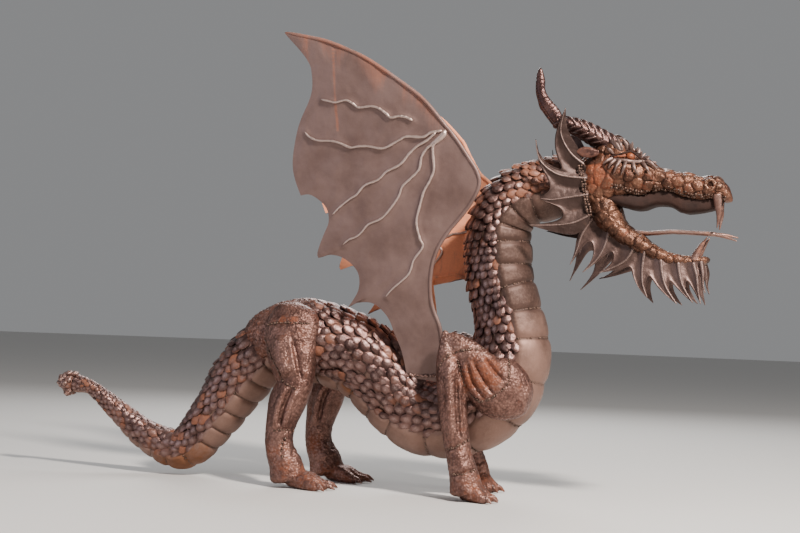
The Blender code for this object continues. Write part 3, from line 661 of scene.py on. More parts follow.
def seen_from_side(tree, x, z, side):
    """Where a line of sight along Y meets a piece: the place and its outward direction, or None."""
    start = Vector((x * MM, side * 0.5, z * MM))
    place, normal, _, _ = tree.ray_cast(start, Vector((0, -side, 0)))
    return None if place is None else (place, normal)


def standing(place, normal, along, size, height):
    """The matrix that sets a model on a surface: its Y runs along, its Z stands out."""
    out = Vector(normal).normalized()
    beside = Vector(along).cross(out).normalized()
    turn = Matrix((beside, out.cross(beside), out)).transposed().to_4x4()
    return Matrix.Translation(place) @ turn @ Matrix.Diagonal((size, size, height, 1))


def bead_spots(tree, line, side, pitch):
    """Where the beads of a weld seam sit: a place, an outward direction and the seam's course."""
    length = run_length(curve_at(line, np.linspace(0, len(line) - 1, 80)))[-1]
    path = evenly(line, max(2, int(length / pitch)))
    spots = []
    for before, here in zip(path, path[1:]):
        found = seen_from_side(tree, *here, side)
        if found:
            spots.append((*found, Vector((here[0] - before[0], 0, here[1] - before[1]))))
    return spots


def make_welds(name, spots, size, material, slot):
    """A row of weld beads, each a little different, as one piece."""
    matrices = []
    for place, normal, course in spots:
        own = size * MM * chance.uniform(0.55, 1.25)
        jitter = Vector(chance.normal(0, 0.12, 3)) * size * MM
        matrices.append(standing(place + jitter, normal, course, own, own * 0.75))
    bead = added(bpy.ops.mesh.primitive_ico_sphere_add, subdivisions=1, radius=0.5)
    # Crown value high on the bead's top and low below it: painted highlight and shade
    paint_wear_and_light(bead, 0.25 + 0.6 * (points_of(bead)[:, 2] > 0.2))
    count = len(matrices)
    finished(copied(bead, name, matrices, chance.uniform(0, 1, count), np.zeros(count)), material, slot)


def finished(piece, material, slot, *nodes, wear_and_light=None, sharp=None):
    """Shade a piece, give it its material and its wear and painted light values, and tie it to the frame."""
    if wear_and_light or "WearAndLight" not in piece.data.color_attributes:
        paint_wear_and_light(piece, *(wear_and_light or ()))
    piece.data.materials.clear()
    piece.data.materials.append(material)
    select(piece)
    if sharp is None:
        bpy.ops.object.shade_smooth()
    else:
        bpy.ops.object.shade_smooth_by_angle(angle=sharp)
    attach(piece, "root")
    if nodes:
        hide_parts(*nodes)
    return piece


# Materials

def linear(hex_colour):
    """An sRGB hex colour as the linear values that a shader takes."""
    channels = [int(hex_colour[start:start + 2], 16) / 255 for start in (1, 3, 5)]
    return (*[c / 12.92 if c <= 0.04045 else ((c + 0.055) / 1.055) ** 2.4 for c in channels], 1)


def add_node(tree, kind, inputs=None, **settings):
    """Add a node and fill its inputs: an output is linked, anything else is the socket's own value."""
    node = tree.nodes.new("ShaderNode" + kind)
    for name, value in settings.items():
        setattr(node, name, value)
    for name, value in (inputs or {}).items():
        if isinstance(value, bpy.types.NodeSocket):
            tree.links.new(value, node.inputs[name])
        else:
            node.inputs[name].default_value = value
    return node


def weathered_steel(
    name, dark, middle, bright, rust, old_rust, blotch, grain, rust_level, roughness, metallic, pits, dimple,
    run=1, drop=0.0,
):
    """Rusting steel. Blotches and grain are in millimetres; pits and dimples are the heights of its bumps.

    With run below 1 the rust is drawn out downwards, as rain leaves it. A drop width turns the dimples into
    drops of weld metal, with a painted glint on top and painted shade in between.
    """
    material = bpy.data.materials.new(name)
    material.use_nodes = True
    tree = material.node_tree
    tree.nodes.clear()

    def noise(vector, size, detail, rough, distortion=0.0, finer=1):
        return add_node(tree, "TexNoise", {
            "Vector": vector, "Scale": finer / (size * MM), "Detail": detail, "Roughness": rough,
            "Distortion": distortion,
        }).outputs["Fac"]

    def sum_of(value, factor, rest=0.0):
        """Value times factor, plus the rest."""
        return add_node(tree, "Math", {0: value, 1: factor, 2: rest}, operation="MULTIPLY_ADD").outputs[0]

    def ramp(value, low, high, start=0.0, end=1.0, kind="LINEAR"):
        """From start at a low value to end at a high one."""
        return add_node(tree, "MapRange", {
            "Value": value, "From Min": low, "From Max": high, "To Min": start, "To Max": end,
        }, interpolation_type=kind).outputs["Result"]

    def mix(share, first, second, blend="MIX"):
        """Two colours mixed; they are a Mix node's inputs 6 and 7, and its output 2."""
        inputs = {0: share, 6: first, 7: second}
        return add_node(tree, "Mix", inputs, data_type="RGBA", blend_type=blend).outputs[2]

    place = add_node(tree, "TexCoord").outputs["Object"]
    wear_and_light = add_node(tree, "Attribute", attribute_name="WearAndLight").outputs["Color"]
    crown, tint, rusty = list(add_node(tree, "SeparateColor", {"Color": wear_and_light}).outputs)[:3]
    fine = noise(place, grain, 4, 0.65)
    hollow = add_node(tree, "TexVoronoi", {
        "Vector": place, "Scale": 1 / ((drop or 3.5 * grain) * MM), "Smoothness": 0.3 if drop else 1.0,
    }, feature="SMOOTH_F1").outputs["Distance"]
    # Cloudy metal with each part's own shade, bright where it stands proud: partly wear, partly painted
    # highlight
    shade = sum_of(tint, 0.35, sum_of(noise(place, blotch, 5, 0.6), 0.65))
    metal = mix(ramp(shade, 0.30, 0.68, kind="SMOOTHSTEP"), linear(dark), linear(middle))
    worn_and_lit = sum_of(fine, 0.5, crown)
    # Patches of rust, more of it where the layer's rust value says so and less on the crowns
    stretched = add_node(tree, "Mapping", {"Vector": place, "Scale": (1, 1, run)}).outputs["Vector"]
    mask = sum_of(rusty, 0.45, noise(stretched, blotch, 6, 0.68, 0.4, 1.7))
    mask = sum_of(crown, -0.16, mask)
    # On weld drops: a painted glint on each drop's top, and more rust in the hollows between
    if drop:
        glint_and_hollow_rust = ramp(hollow, 0.15, 0.65, 0.16, -0.16)
        worn_and_lit = sum_of(glint_and_hollow_rust, 1.0, worn_and_lit)
        mask = sum_of(glint_and_hollow_rust, -0.8, mask)
    metal = mix(ramp(worn_and_lit, 0.80, 1.50, kind="SMOOTHSTEP"), metal, linear(bright))
    mask = ramp(mask, 0.52 - rust_level, 0.88 - rust_level, kind="SMOOTHSTEP")
    colour = mix(mask, metal, mix(fine, linear(old_rust), linear(rust)))
    # Painted shade in the gaps, where the crown value is low, and between weld drops
    colour = mix(1.0, colour, ramp(crown, 0.0, 0.35, 0.30, 1.0), "MULTIPLY")
    if drop:
        colour = mix(1.0, colour, ramp(hollow, 0.30, 0.75, 1.0, 0.62), "MULTIPLY")
    dull = ramp(mask, 0.0, 1.0, roughness, min(1.0, roughness + 0.3))
    dimples = add_node(tree, "Bump", {
        "Height": hollow, "Strength": 0.8, "Distance": dimple * MM,
    }, invert=drop > 0).outputs["Normal"]
    bumps = add_node(tree, "Bump", {
        "Height": fine, "Normal": dimples, "Strength": 0.8, "Distance": pits * MM,
    }).outputs["Normal"]
    shader = add_node(tree, "BsdfPrincipled", {
        "Base Color": colour, "Roughness": sum_of(fine, 0.25, dull),
        "Metallic": ramp(mask, 0.0, 1.0, metallic, metallic * 0.35), "Normal": bumps,
    })
    add_node(tree, "OutputMaterial", {"Surface": shader.outputs["BSDF"]})
    return material


# Hammered steel scales: bright on their crowns, partly wear and partly painted highlight; rusty in the gaps,
# with painted shade there
SCALE_STEEL = weathered_steel(
    "hammered_steel", "#412d2b", "#6d514b", "#bda19b", "#935a41", "#573729",
    blotch=60, grain=4, rust_level=0.02, roughness=0.20, metallic=0.82, pits=1.3, dimple=2.6,
)
# Smooth rolled plates of the belly: brown, evenly rusted, with a soft gloss
BELLY_STEEL = weathered_steel(
    "rolled_belly_steel", "#46322b", "#826458", "#ac9083", "#8f5a3a", "#503525",
    blotch=90, grain=6, rust_level=0.02, roughness=0.40, metallic=0.60, pits=0.8, dimple=1.6,
)
# Steel built up with drops of weld metal: rough, brown and mauve in blotches, with painted glints as bright
# points
SKIN_STEEL = weathered_steel(
    "weld_stippled_steel", "#583c35", "#936e63", "#d0aea2", "#a85c3a", "#643c2a",
    blotch=75, grain=3, rust_level=-0.01, roughness=0.32, metallic=0.78, pits=1.0, dimple=2.2, drop=7.0,
)
# Weld metal along the seams: darker than the plates that it joins
SEAM_STEEL = weathered_steel(
    "seam_weld", "#291b16", "#533c33", "#856d61", "#7d4f39", "#3a241b",
    blotch=30, grain=3, rust_level=0.02, roughness=0.32, metallic=0.75, pits=1.2, dimple=1.2,
)
# The head: the same stippled steel with more rust on it
HEAD_STEEL = weathered_steel(
    "rusted_weld_steel", "#3b251c", "#7e5744", "#dcae93", "#b05a34", "#633923",
    blotch=50, grain=3, rust_level=0.02, roughness=0.24, metallic=0.72, pits=1.4, dimple=1.4, drop=6.5,
)
# Cold rolled sheet with mauve mill scale: smooth, with soft clouds, and runs of rust under its rim
WING_STEEL = weathered_steel(
    "mill_scale_sheet", "#614b45", "#7f6761", "#a58f89", "#98604b", "#725046",
    blotch=120, grain=5, rust_level=-0.04, roughness=0.42, metallic=0.60, pits=0.5, dimple=0.8, run=0.16,
)
# The far wing: the same sheet, with orange rust on its inner side in colours made much lighter as painted
# sunlight
FAR_WING_SUNLIT_STEEL = weathered_steel(
    "sunlit_rust_sheet", "#614b45", "#7f6761", "#a58f89", "#f9a77f", "#da8862",
    blotch=90, grain=5, rust_level=0.0, roughness=0.42, metallic=0.30, pits=0.6, dimple=0.8, run=0.3,
)
# The same sheet cut in smaller pieces for the fans, cleaner and shinier
FAN_STEEL = weathered_steel(
    "formed_fan_sheet", "#44332e", "#6f5953", "#d0b5ab", "#85553f", "#4e3529",
    blotch=70, grain=4, rust_level=-0.02, roughness=0.32, metallic=0.75, pits=0.6, dimple=1.2,
)
# Near-black steel for the palate inside the mouth and the eye slit: dark and dull, painted shade where they
# lie in shadow
SHADOW_STEEL = weathered_steel(
    "painted_shadow_steel", "#1c0c07", "#331b12", "#4d3325", "#45271a", "#25130c",
    blotch=60, grain=5, rust_level=0.0, roughness=0.70, metallic=0.3, pits=0.8, dimple=1.2,
)
# Fangs and claws: ground steel, brighter than the rest
FANG_STEEL = weathered_steel(
    "ground_steel", "#6b4d44", "#977a70", "#d2bcb2", "#a5694b", "#6e4836",
    blotch=40, grain=3, rust_level=0.0, roughness=0.28, metallic=0.8, pits=0.7, dimple=0.8,
)
# Fresh orange rust over the eyeball
EYE_RUST = weathered_steel(
    "orange_rust", "#552d1c", "#8a4a2a", "#b56c42", "#a5522a", "#69381f",
    blotch=14, grain=2, rust_level=0.2, roughness=0.35, metallic=0.4, pits=0.6, dimple=0.6,
)


# Body

def body_points(places, angles, lift=0.0, size=1.0):
    return tube_points(BODY_STATIONS, places, angles, lift, size=size)


def plate_seams():
    """Places on the body's curve where two belly plates meet."""
    seams = [0.0]
    place = FIRST_PLATE_PLACE
    while place < LAST_PLACE - STRIDE:
        here, ahead = curve_at(BODY_STATIONS, [place, place + STRIDE])
        pitch = PLATE_PITCH_SHARE * here[2] + PLATE_PITCH_BASE
        seams.append(place)
        place += pitch * STRIDE / np.hypot(*(ahead - here)[:2])
    return np.array(seams + [LAST_PLACE])


SEAMS = plate_seams()


def belly_half(places):
    """Where the belly plates end and the scales begin, as an angle from the belly's middle line."""
    return np.interp(places, BELLY_PLACES, BELLY_HALF_ANGLES)


def from_belly(angles):
    """The angle from the belly's middle line, 0 to pi."""
    return np.abs((angles + pi) % (2 * pi) - pi)


def plate_bulge(places, power):
    """1 in the middle of each belly plate and 0 at its seams."""
    after = np.clip(np.searchsorted(SEAMS, places, side="right"), 1, len(SEAMS) - 1)
    phase = np.clip((places - SEAMS[after - 1]) / (SEAMS[after] - SEAMS[after - 1]), 0, 1)
    return 1 - np.abs(2 * phase - 1) ** power


def body_relief(places, angles):
    """Bulging belly plates, and the bed that the scales lie on."""
    share = np.minimum(1, curve_at(BODY_STATIONS, places)[:, 2] / FULL_RELIEF_DEPTH)
    belly = smooth_step((belly_half(places) + BELLY_EDGE - from_belly(angles)) / (2 * BELLY_EDGE))
    return share * (belly * PLATE_BULGE * (plate_bulge(places, 4) - 0.3) - (1 - belly) * SCALE_BED)


def rust_patches(points, patches, shift=0):
    """How rusty each point is, from patches of x, z, radius and how much."""
    amount = np.zeros(len(points))
    for x, z, radius, strength in patches:
        gap = np.hypot(points[:, 0] / MM - x - shift, points[:, 2] / MM - z)
        amount = np.maximum(amount, strength * smooth_step(1.4 - gap / radius))
    return amount


def make_body():
    """The core of tail, torso and neck; its plates are painted lighter in their middles and darker at their
    seams, as sheen and shade.
    """
    body = tube("body_core", BODY_STATIONS, 640, 72, body_relief, ends=(0.006, 0.01))
    dents(body, 34, 2.0)
    points = points_of(body)
    places = even_places(BODY_STATIONS, np.linspace(0, 1, 900))
    nearest = near_path(points, curve_at(BODY_STATIONS, places), places)[1]
    # Painted shade on the upper neck's plates
    neck_painted_shade = fade(points[:, 2] / MM, *NECK_PAINTED_SHADE_HEIGHTS) * (points[:, 0] / MM > NECK_BEGINS_X)
    wear_and_light = (0.02 + 0.62 * plate_bulge(nearest, 6), 0.85 - 0.75 * neck_painted_shade, rust_patches(points, BELLY_RUST))
    finished(body, BELLY_STEEL, "scale_steel", "body", wear_and_light=wear_and_light)


def make_scale_model():
    """One hammered scale, 1 wide: its root at the origin, its free end towards +Y, its crown towards +Z."""
    scale = added(bpy.ops.mesh.primitive_grid_add, x_subdivisions=6, y_subdivisions=6, size=1)
    flat = points_of(scale)
    across = 2 * flat[:, 0]
    along = flat[:, 1] + 0.5
    end = np.clip(2 * along - 1, 0, 1)
    half = 0.5 * (0.88 + 0.12 * smooth_step(along / 0.4)) * np.sqrt(1 - end ** 2 / 2)
    length = 1.62 * np.minimum(along, 0.5) + 0.58 * end * np.sqrt(1 - across ** 2 / 2)
    swell = 0.35 + 0.65 * np.sin(pi * np.clip(along * 0.86 + 0.02, 0, 1))
    rise = SCALE_RISE * swell * (1 - 0.72 * np.abs(across) ** 2.6)
    move_points(scale, np.stack([across * half, length - SCALE_BACK, rise], axis=1))
    select(scale)
    bpy.ops.object.mode_set(mode="EDIT")
    bpy.ops.mesh.select_all(action="SELECT")
    bpy.ops.mesh.region_to_loop()
    bpy.ops.mesh.extrude_edges_move(TRANSFORM_OT_translate={"value": (0, 0, -SCALE_RIM)})
    bpy.ops.transform.resize(value=(0.92, 0.92, 1), center_override=(0, 0.4, 0))
    bpy.ops.mesh.edge_face_add()
    bpy.ops.mesh.select_all(action="SELECT")
    bpy.ops.mesh.normals_make_consistent(inside=False)
    bpy.ops.object.mode_set(mode="OBJECT")
    # Crown value from height: painted highlight on the dome, painted shade towards its rim
    paint_wear_and_light(scale, 0.80 * np.clip(points_of(scale)[:, 2] / SCALE_RISE, 0, 1))
    return scale


def scale_rows():
    """Place, column width and number of columns for each row of scales from the tail to the neck."""
    rows = []
    place = FIRST_SCALE_PLACE
    columns = FIRST_SCALE_COLUMNS
    while place < LAST_SCALE_PLACE:
        here, ahead = curve_at(BODY_STATIONS, [place, place + STRIDE])
        arc = (2 * pi - 2 * belly_half(place)) * (here[2] + here[3]) / 2
        limit = NECK_SCALE_WIDTH if place > NECK_PLACE else np.interp(here[2], *zip(*SCALE_WIDTHS))
        wanted = max(5, round(arc / limit))
        if abs(wanted - columns) > 1:
            columns = wanted
        width = arc / columns
        rows.append((place, width, columns))
        place += SCALE_PITCH * width * STRIDE / np.hypot(*(ahead - here)[:2])
    return rows


def scale_rust(place, luck):
    """The nape has rusted most, and the front of the rump a little."""
    nape = smooth_step((place - NAPE_PLACE) / 1.6)
    rump = smooth_step((RUMP_FRONT[1] - place) / 1.4) * (place > RUMP_FRONT[0])
    return nape * (0.45 + 0.5 * luck) + rump * 0.7 * luck


def scale_seats():
    """The matrix, shade and rust of every scale, keyed by the part of the body that it is on."""
    groups = {"scales_tail": [], "scales_torso": [], "scales_neck": []}
    for row, (place, width, columns) in enumerate(scale_rows()):
        odd = row % 2
        count = columns + odd
        shares = (np.arange(count) + (0 if odd else 0.5)) / columns
        shares = shares + chance.normal(0, 0.012, count)
        if RUMP_PLACES[0] < place < RUMP_PLACES[1]:
            continue
        places = np.clip(place + chance.normal(0, 0.015, count), 0, LAST_PLACE)
        angles = belly_half(place) + shares * (2 * pi - 2 * belly_half(place))
        share = min(1.0, curve_at(BODY_STATIONS, [place])[0][2] / FULL_RELIEF_DEPTH)
        lift = -SCALE_BED * share + 1.0
        here = body_points(places, angles, lift)
        toward_tail = body_points(places - COURSE_STEP, angles, lift) - here
        outward = np.cross(toward_tail, body_points(places, angles + 0.02, lift) - here)
        spoke = here - upright(curve_at(BODY_STATIONS, places), 0 * places)
        outward *= np.sign((outward * spoke).sum(axis=1))[:, None]
        on_tail = place < TAIL_PLACE
        group = "scales_tail" if on_tail else "scales_torso" if place < NECK_PLACE else "scales_neck"
        for spot, tail_way, out in zip(here, toward_tail, outward):
            size = width * SCALE_OVERLAP * chance.uniform(0.92, 1.06) * MM
            seat = standing(spot * MM, out, tail_way, size, size * chance.uniform(0.85, 1.1))
            lean = Matrix.Rotation(SCALE_LIFT + chance.normal(0, 0.035), 4, "X")
            twist = Matrix.Rotation(chance.normal(0, 0.06), 4, "Z")
            rust = chance.uniform(0, 1) ** (2.6 if on_tail else 9)
            rust = max(rust, scale_rust(place, chance.uniform(0, 1)))
            groups[group].append((seat @ twist @ lean, chance.uniform(0.15, 0.85) + 0.3 * on_tail, rust))
    return groups


def make_scales():
    for name, seats in scale_seats().items():
        scales = copied(make_scale_model(), name, *zip(*seats))
        finished(scales, SCALE_STEEL, "scale_steel", sharp=radians(62))


def make_belly_ticks():
    """Short weld marks across each seam of the belly."""
    spots = []
    for seam in SEAMS[3:-1]:
        half = belly_half(seam)
        count = int(2 * half * curve_at(BODY_STATIONS, [seam])[0][2] / TICK_PITCH)
        angles = np.linspace(-half, half, count)
        places = np.full(count, seam)
        here = body_points(places, angles, -PLATE_BULGE * 0.30)
        beyond = body_points(places, angles, 10.0)
        along = body_points(places + COURSE_STEP, angles) - body_points(places, angles)
        for spot, out, course in zip(here, beyond - here, along):
            spots.append((Vector(spot * MM), Vector(out), Vector(course)))
    make_welds("belly_seam_welds", spots, 8, SEAM_STEEL, "scale_steel")


def make_tail_end():
    """The ragged lump of weld metal at the tip of the tail."""
    spots = []
    for _ in range(TAIL_END_BEADS):
        place = np.array([chance.uniform(0.05, 2.6)])
        angle = np.array([chance.uniform(0, 2 * pi)])
        here = body_points(place, angle)[0]
        out = body_points(place, angle, 5.0)[0] - here
        spots.append((Vector(here * MM), Vector(out), Vector((1, 0, 0.3))))
    make_welds("tail_end_welds", spots, 25, SKIN_STEEL, "scale_steel")


def make_rump():
    """The saddle of weld metal that runs over the rump, between the two thighs."""
    first, last = RUMP_PLACES

    def surface(along, around):
        places = first - 0.5 + along * (last - first + 1.0)
        angles = 2 * pi * around
        span = smooth_step((places - first + 0.35) / 0.5) * smooth_step((last + 0.35 - places) / 0.5)
        back = smooth_step((from_belly(angles) - 0.95) / 0.3)
        lift = -SADDLE_SUNK + SADDLE_RISE * span * back
        return body_points(places, angles, lift, end_taper(along, 0.05, 0.05))

    rump = dents(wrapped("rump_saddle", 110, 110, surface), 60, 8.0)
    stipple(rump, DROP_SPACING, 3.6, 0.3, 0.12, 0.55)
    finished(rump, SKIN_STEEL, "skin_steel")


# Legs

HIND_GROOVES = [
    [(-212, 447), (-193, 392), (-171, 311)], [(-196, 300), (-219, 245), (-235, 172)],
    [(-190, 150), (-196, 120), (-186, 92)],
]
# Swells and ridges: their line, their radius and how far they stand out
HIND_SWELLS = [
    ([(-252, 450), (-238, 390), (-212, 325)], 26, 13), ([(-224, 440), (-205, 392), (-186, 322)], 8, 6),
    ([(-178, 420), (-160, 372), (-156, 320)], 14, 8), ([(-179, 296), (-202, 245), (-220, 170)], 9, 9),
    ([(-214, 303), (-238, 243), (-250, 172)], 9, 8), ([(-205, 120), (-214, 95), (-206, 66)], 18, 6),
]
HIND_SEAMS = [
    [(-318, 440), (-303, 425), (-278, 382), (-246, 344), (-231, 313), (-184, 292)],
    [(-312, 478), (-242, 485), (-170, 487)], [(-256, 166), (-221, 171), (-189, 164)],
    [(-216, 150), (-224, 120), (-216, 91)],
]
FORE_GROOVES = [
    [(303, 365), (307, 325), (309, 286), (320, 175)], [(318, 325), (322, 245), (330, 187)],
    [(329, 397), (347, 341), (387, 290)], [(345, 403), (373, 355), (415, 302)],
    [(375, 416), (408, 375), (447, 340)],
]
FORE_SWELLS = [
    ([(282, 395), (287, 285), (300, 168)], 11, 9), ([(314, 343), (316, 273), (326, 181)], 5, 6),
    ([(312, 396), (334, 336), (380, 286)], 11, 2), ([(338, 400), (360, 348), (400, 298)], 12, 2),
    ([(362, 408), (392, 364), (430, 322)], 13, 2), ([(400, 420), (428, 392), (447, 365)], 12, 2),
    ([(314, 140), (326, 110), (338, 86)], 18, 6),
]
FORE_SEAMS = [
    [(246, 372), (270, 404), (295, 419), (319, 427), (358, 432), (394, 437)],
    [(300, 400), (312, 362), (324, 328), (345, 298), (374, 282)],
    [(374, 282), (414, 302), (447, 335), (450, 362), (448, 389), (439, 416)],
    [(270, 150), (291, 145), (315, 157), (339, 172)], [(300, 80), (318, 76), (345, 84), (374, 96)],
]
SEAM_PITCH = 6
BEAD_SIZE = 9
# Rust on the legs: x, z, radius and how much
LEG_RUST = [
    (-285, 488, 14, 0.5), (-250, 493, 14, 0.5), (-215, 494, 14, 0.5), (-262, 330, 35, 0.3),
    (-250, 110, 40, 0.4), (372, 352, 60, 0.72), (300, 410, 20, 0.4),
]
# Heights between which the elbow's point gets a pale painted highlight, a shin turns smooth and rough again,
# and feet rust
ELBOW_HEIGHTS = (408, 428)
SHIN_HEIGHTS = (150, 180)
KNEE_HEIGHTS = (370, 310)
FOOT_HEIGHTS = (130, 40)
# The elbow's x, and the x behind which a forearm or shin can be smooth
ELBOW_X = (200, 400)
SHIN_X = 325
HINDLEG = ([HINDLEG_STATIONS], HIND_TOE, HIND_ANKLE, HIND_CLAW, HIND_GROOVES, HIND_SWELLS, HIND_SEAMS)
FORELEG = (
    [FORELEG_STATIONS, SHOULDER_STATIONS], FORE_TOE, FORE_ANKLE, FORE_CLAW,
    FORE_GROOVES, FORE_SWELLS, FORE_SEAMS,
)


def from_ankle(foot, reach, across=0.0):
    """x and y of a point on a toe; foot is the ankle's x and y and the toe's turn."""
    x, y, turn = foot
    return x + reach * cos(turn) - across * sin(turn), y + reach * sin(turn) + across * cos(turn)


def toe(stations, foot):
    """One toe with a rounded end."""
    def surface(along, around):
        reach, height, deep, wide = curve_at(stations, even_places(stations, along)).T
        size = end_taper(along, 0.08, 0.12)
        angles = 2 * pi * around
        x, y = from_ankle(foot, reach, wide * size * np.sin(angles))
        knuckle = 1 + 0.10 * np.sin(along * pi * 4) * (np.cos(angles) < 0)
        return np.stack([x, y, height - deep * size * knuckle * np.cos(angles)], axis=1)

    return wrapped("part", 40, 28, surface)


def claw(line, foot):
    """A ground claw at the end of a toe, curved down to the ground."""
    path = [(*from_ankle(foot, reach), height) for reach, height in line]
    sizes = [CLAW_RADIUS, CLAW_RADIUS * 0.8, CLAW_RADIUS * 0.15]
    across = (-sin(foot[2]), cos(foot[2]), 0)
    return rod("part", path, sizes, [0.8 * size for size in sizes], 18, 14, (0.25, 0.05), across)


def leg_wear_and_light(points, shift):
    """Where the elbow's point gets its painted highlight, how rough a leg is and how rusty.

    Thighs, elbows and feet are rough; the long ridges of shin and forearm are smoother.
    """
    x = points[:, 0] / MM - shift
    height = points[:, 2] / MM
    painted_lit_crest = fade(height, *ELBOW_HEIGHTS) * (x > ELBOW_X[0]) * (x < ELBOW_X[1])
    shin = fade(height, *SHIN_HEIGHTS) * fade(height, *KNEE_HEIGHTS) * (x < SHIN_X)
    feet = 0.35 * fade(height, *FOOT_HEIGHTS)
    return painted_lit_crest, 1 - 0.6 * shin, np.maximum(feet, rust_patches(points, LEG_RUST, shift))


def make_leg(name, side, shift, foot_turn, parts, toes, ankle, claw_line, grooves, swells, seams):
    """A leg of fused forms, with ridges and hollows worked into it, weld seams and claws."""
    def moved(line):
        return [(x + shift, z) for x, z in line]

    feet = [
        (ankle[0] + shift, side * ankle[1], (index - (TOES - 1) / 2) * TOE_SPREAD + foot_turn)
        for index in range(TOES)
    ]
    solids = [tube("part", stations, 110, 44, side=side, shift=shift) for stations in parts]
    leg = joined(name, solids + [toe(toes, foot) for foot in feet])
    apply_modifier(leg, "REMESH", mode="VOXEL", voxel_size=LIMB_VOXEL * MM)
    apply_modifier(leg, "SMOOTH", factor=0.6, iterations=5)
    form = sum(stroke(leg, moved(line), radius, height) for line, radius, height in swells)
    form = form + sum(stroke(leg, moved(line), GROOVE_RADIUS, GROOVE_HEIGHT) for line in grooves)
    form = form + sum(stroke(leg, moved(line), GROOVE_RADIUS, SEAM_HEIGHT) for line in seams)
    dents(leg, 30, 1.3)
    painted_lit_crest, rough, rust = leg_wear_and_light(points_of(leg), shift)
    # Crown value: painted light, higher on raised forms and the elbow's point, lower in grooves and seams
    bed = np.clip(0.13 + form / 50, 0.0, 0.28) + 0.25 * painted_lit_crest
    stipple(leg, DROP_SPACING, 1.5 * rough, rust, bed + 0.12, 0.30)
    points = points_of(leg)
    points[:, 2] = np.maximum(points[:, 2], 0)
    move_points(leg, points)
    finished(leg, SKIN_STEEL, "skin_steel", name)
    tree = surface_tree(leg)
    spots = [spot for line in seams for spot in bead_spots(tree, moved(line), side, SEAM_PITCH)]
    make_welds(name + "_welds", spots, BEAD_SIZE, SEAM_STEEL, "skin_steel")
    claws = joined(name + "_claws", [claw(claw_line, foot) for foot in feet])
    finished(claws, SKIN_STEEL, "fang_steel", wear_and_light=(0.7, 0.5, 0.35))


def make_legs():
    make_leg("hindleg_right", RIGHT, 0, 0.0, *HINDLEG)
    make_leg("foreleg_right", RIGHT, 0, 0.0, *FORELEG)
    make_leg("hindleg_left", LEFT, HINDLEG_STAGGER, 0.0, *HINDLEG)
    make_leg("foreleg_left", LEFT, FORELEG_STAGGER, FAR_FOOT_TURN, *FORELEG)


# Wings

def wing_points(flat, offset, side, sweep):
    """Sheet coordinates of a wing as points of the dragon: it leans out and sweeps back about its root."""
    root_x, root_z, root_y = WING_ROOT
    across = flat[:, 0] - root_x
    up = flat[:, 1] - root_z
    turned_x = across * cos(sweep) - up * sin(sweep)
    turned_up = across * sin(sweep) + up * cos(sweep)
    return np.stack([
        root_x + turned_x,
        side * (root_y + turned_up * sin(WING_LEAN) + offset * cos(WING_LEAN)),
        root_z + turned_up * cos(WING_LEAN) - offset * sin(WING_LEAN),
    ], axis=1)


def edge_path(arcs):
    """Points along an edge of several arcs, the share of its length at each, and where the arcs meet."""
    pieces = [curve_at(arc, np.linspace(0, len(arc) - 1, 24 * len(arc))) for arc in arcs]
    path = np.concatenate(pieces)
    run = run_length(path)
    run = run / run[-1]
    return path, run, [0.0, *run[np.cumsum([len(piece) for piece in pieces]) - 1]]


def make_wing(name, side, sweep, front_arc):
    rear, rear_run, corners = edge_path(WING_REAR_ARCS)
    front, front_run, _ = edge_path([WING_TOP_ARC, front_arc])
    shares = np.concatenate([
        np.linspace(start, end, max(3, round(WING_ROWS * (end - start))), endpoint=False)
        for start, end in zip(corners, corners[1:])
    ] + [[1.0]])

    def surface(along, across):
        share = np.interp(along, np.linspace(0, 1, len(shares)), shares)
        back = np.stack([np.interp(share, rear_run, column) for column in rear.T], axis=1)
        fore = np.stack([np.interp(share, front_run, column) for column in front.T], axis=1)
        flat = back + (fore - back) * across[:, None]
        billow = WING_BILLOW * np.sin(pi * across) * np.sin(pi * along) ** 0.7
        points = upright(flat, 0 * along) * MM
        gap = np.min([near_line(points, vein)[0] for vein in WING_VEINS], axis=0)
        crease = CREASE_HEIGHT * np.exp(-((gap / CREASE_RADIUS) ** 2))
        return wing_points(flat, billow + crease, side, sweep)

    wing = wrapped(name, len(shares) - 1, 84, surface)
    dents(wing, 75, 7.0)
    dents(wing, 22, 1.6)
    apply_modifier(wing, "SOLIDIFY", thickness=WING_SHEET * MM, offset=0)
    points = points_of(wing)
    height = points[:, 2] / MM
    below_rim = np.interp(points[:, 0] / MM, *np.array(WING_TOP_ARC, float).T) - height
    runs = np.clip(1 - below_rim / RIM_RUST_DEPTH, 0, 1) * np.clip((height - RIM_RUST_LOW) / 250, 0, 0.75)
    runs = np.maximum(runs, np.exp(-((near_line(points, RUST_RUN)[0] / RUST_RUN_RADIUS) ** 2)))
    inner = (normals_of(wing)[:, 1] * side < -0.3) & (side == LEFT)
    steel = WING_STEEL if side == RIGHT else FAR_WING_SUNLIT_STEEL
    wear_and_light = (0.45, 0.5, np.maximum(runs, 1.0 * inner))
    finished(wing, steel, "wing_steel", name, wear_and_light=wear_and_light, sharp=radians(50))
    make_wing_rods(wing, side, sweep, front, steel)


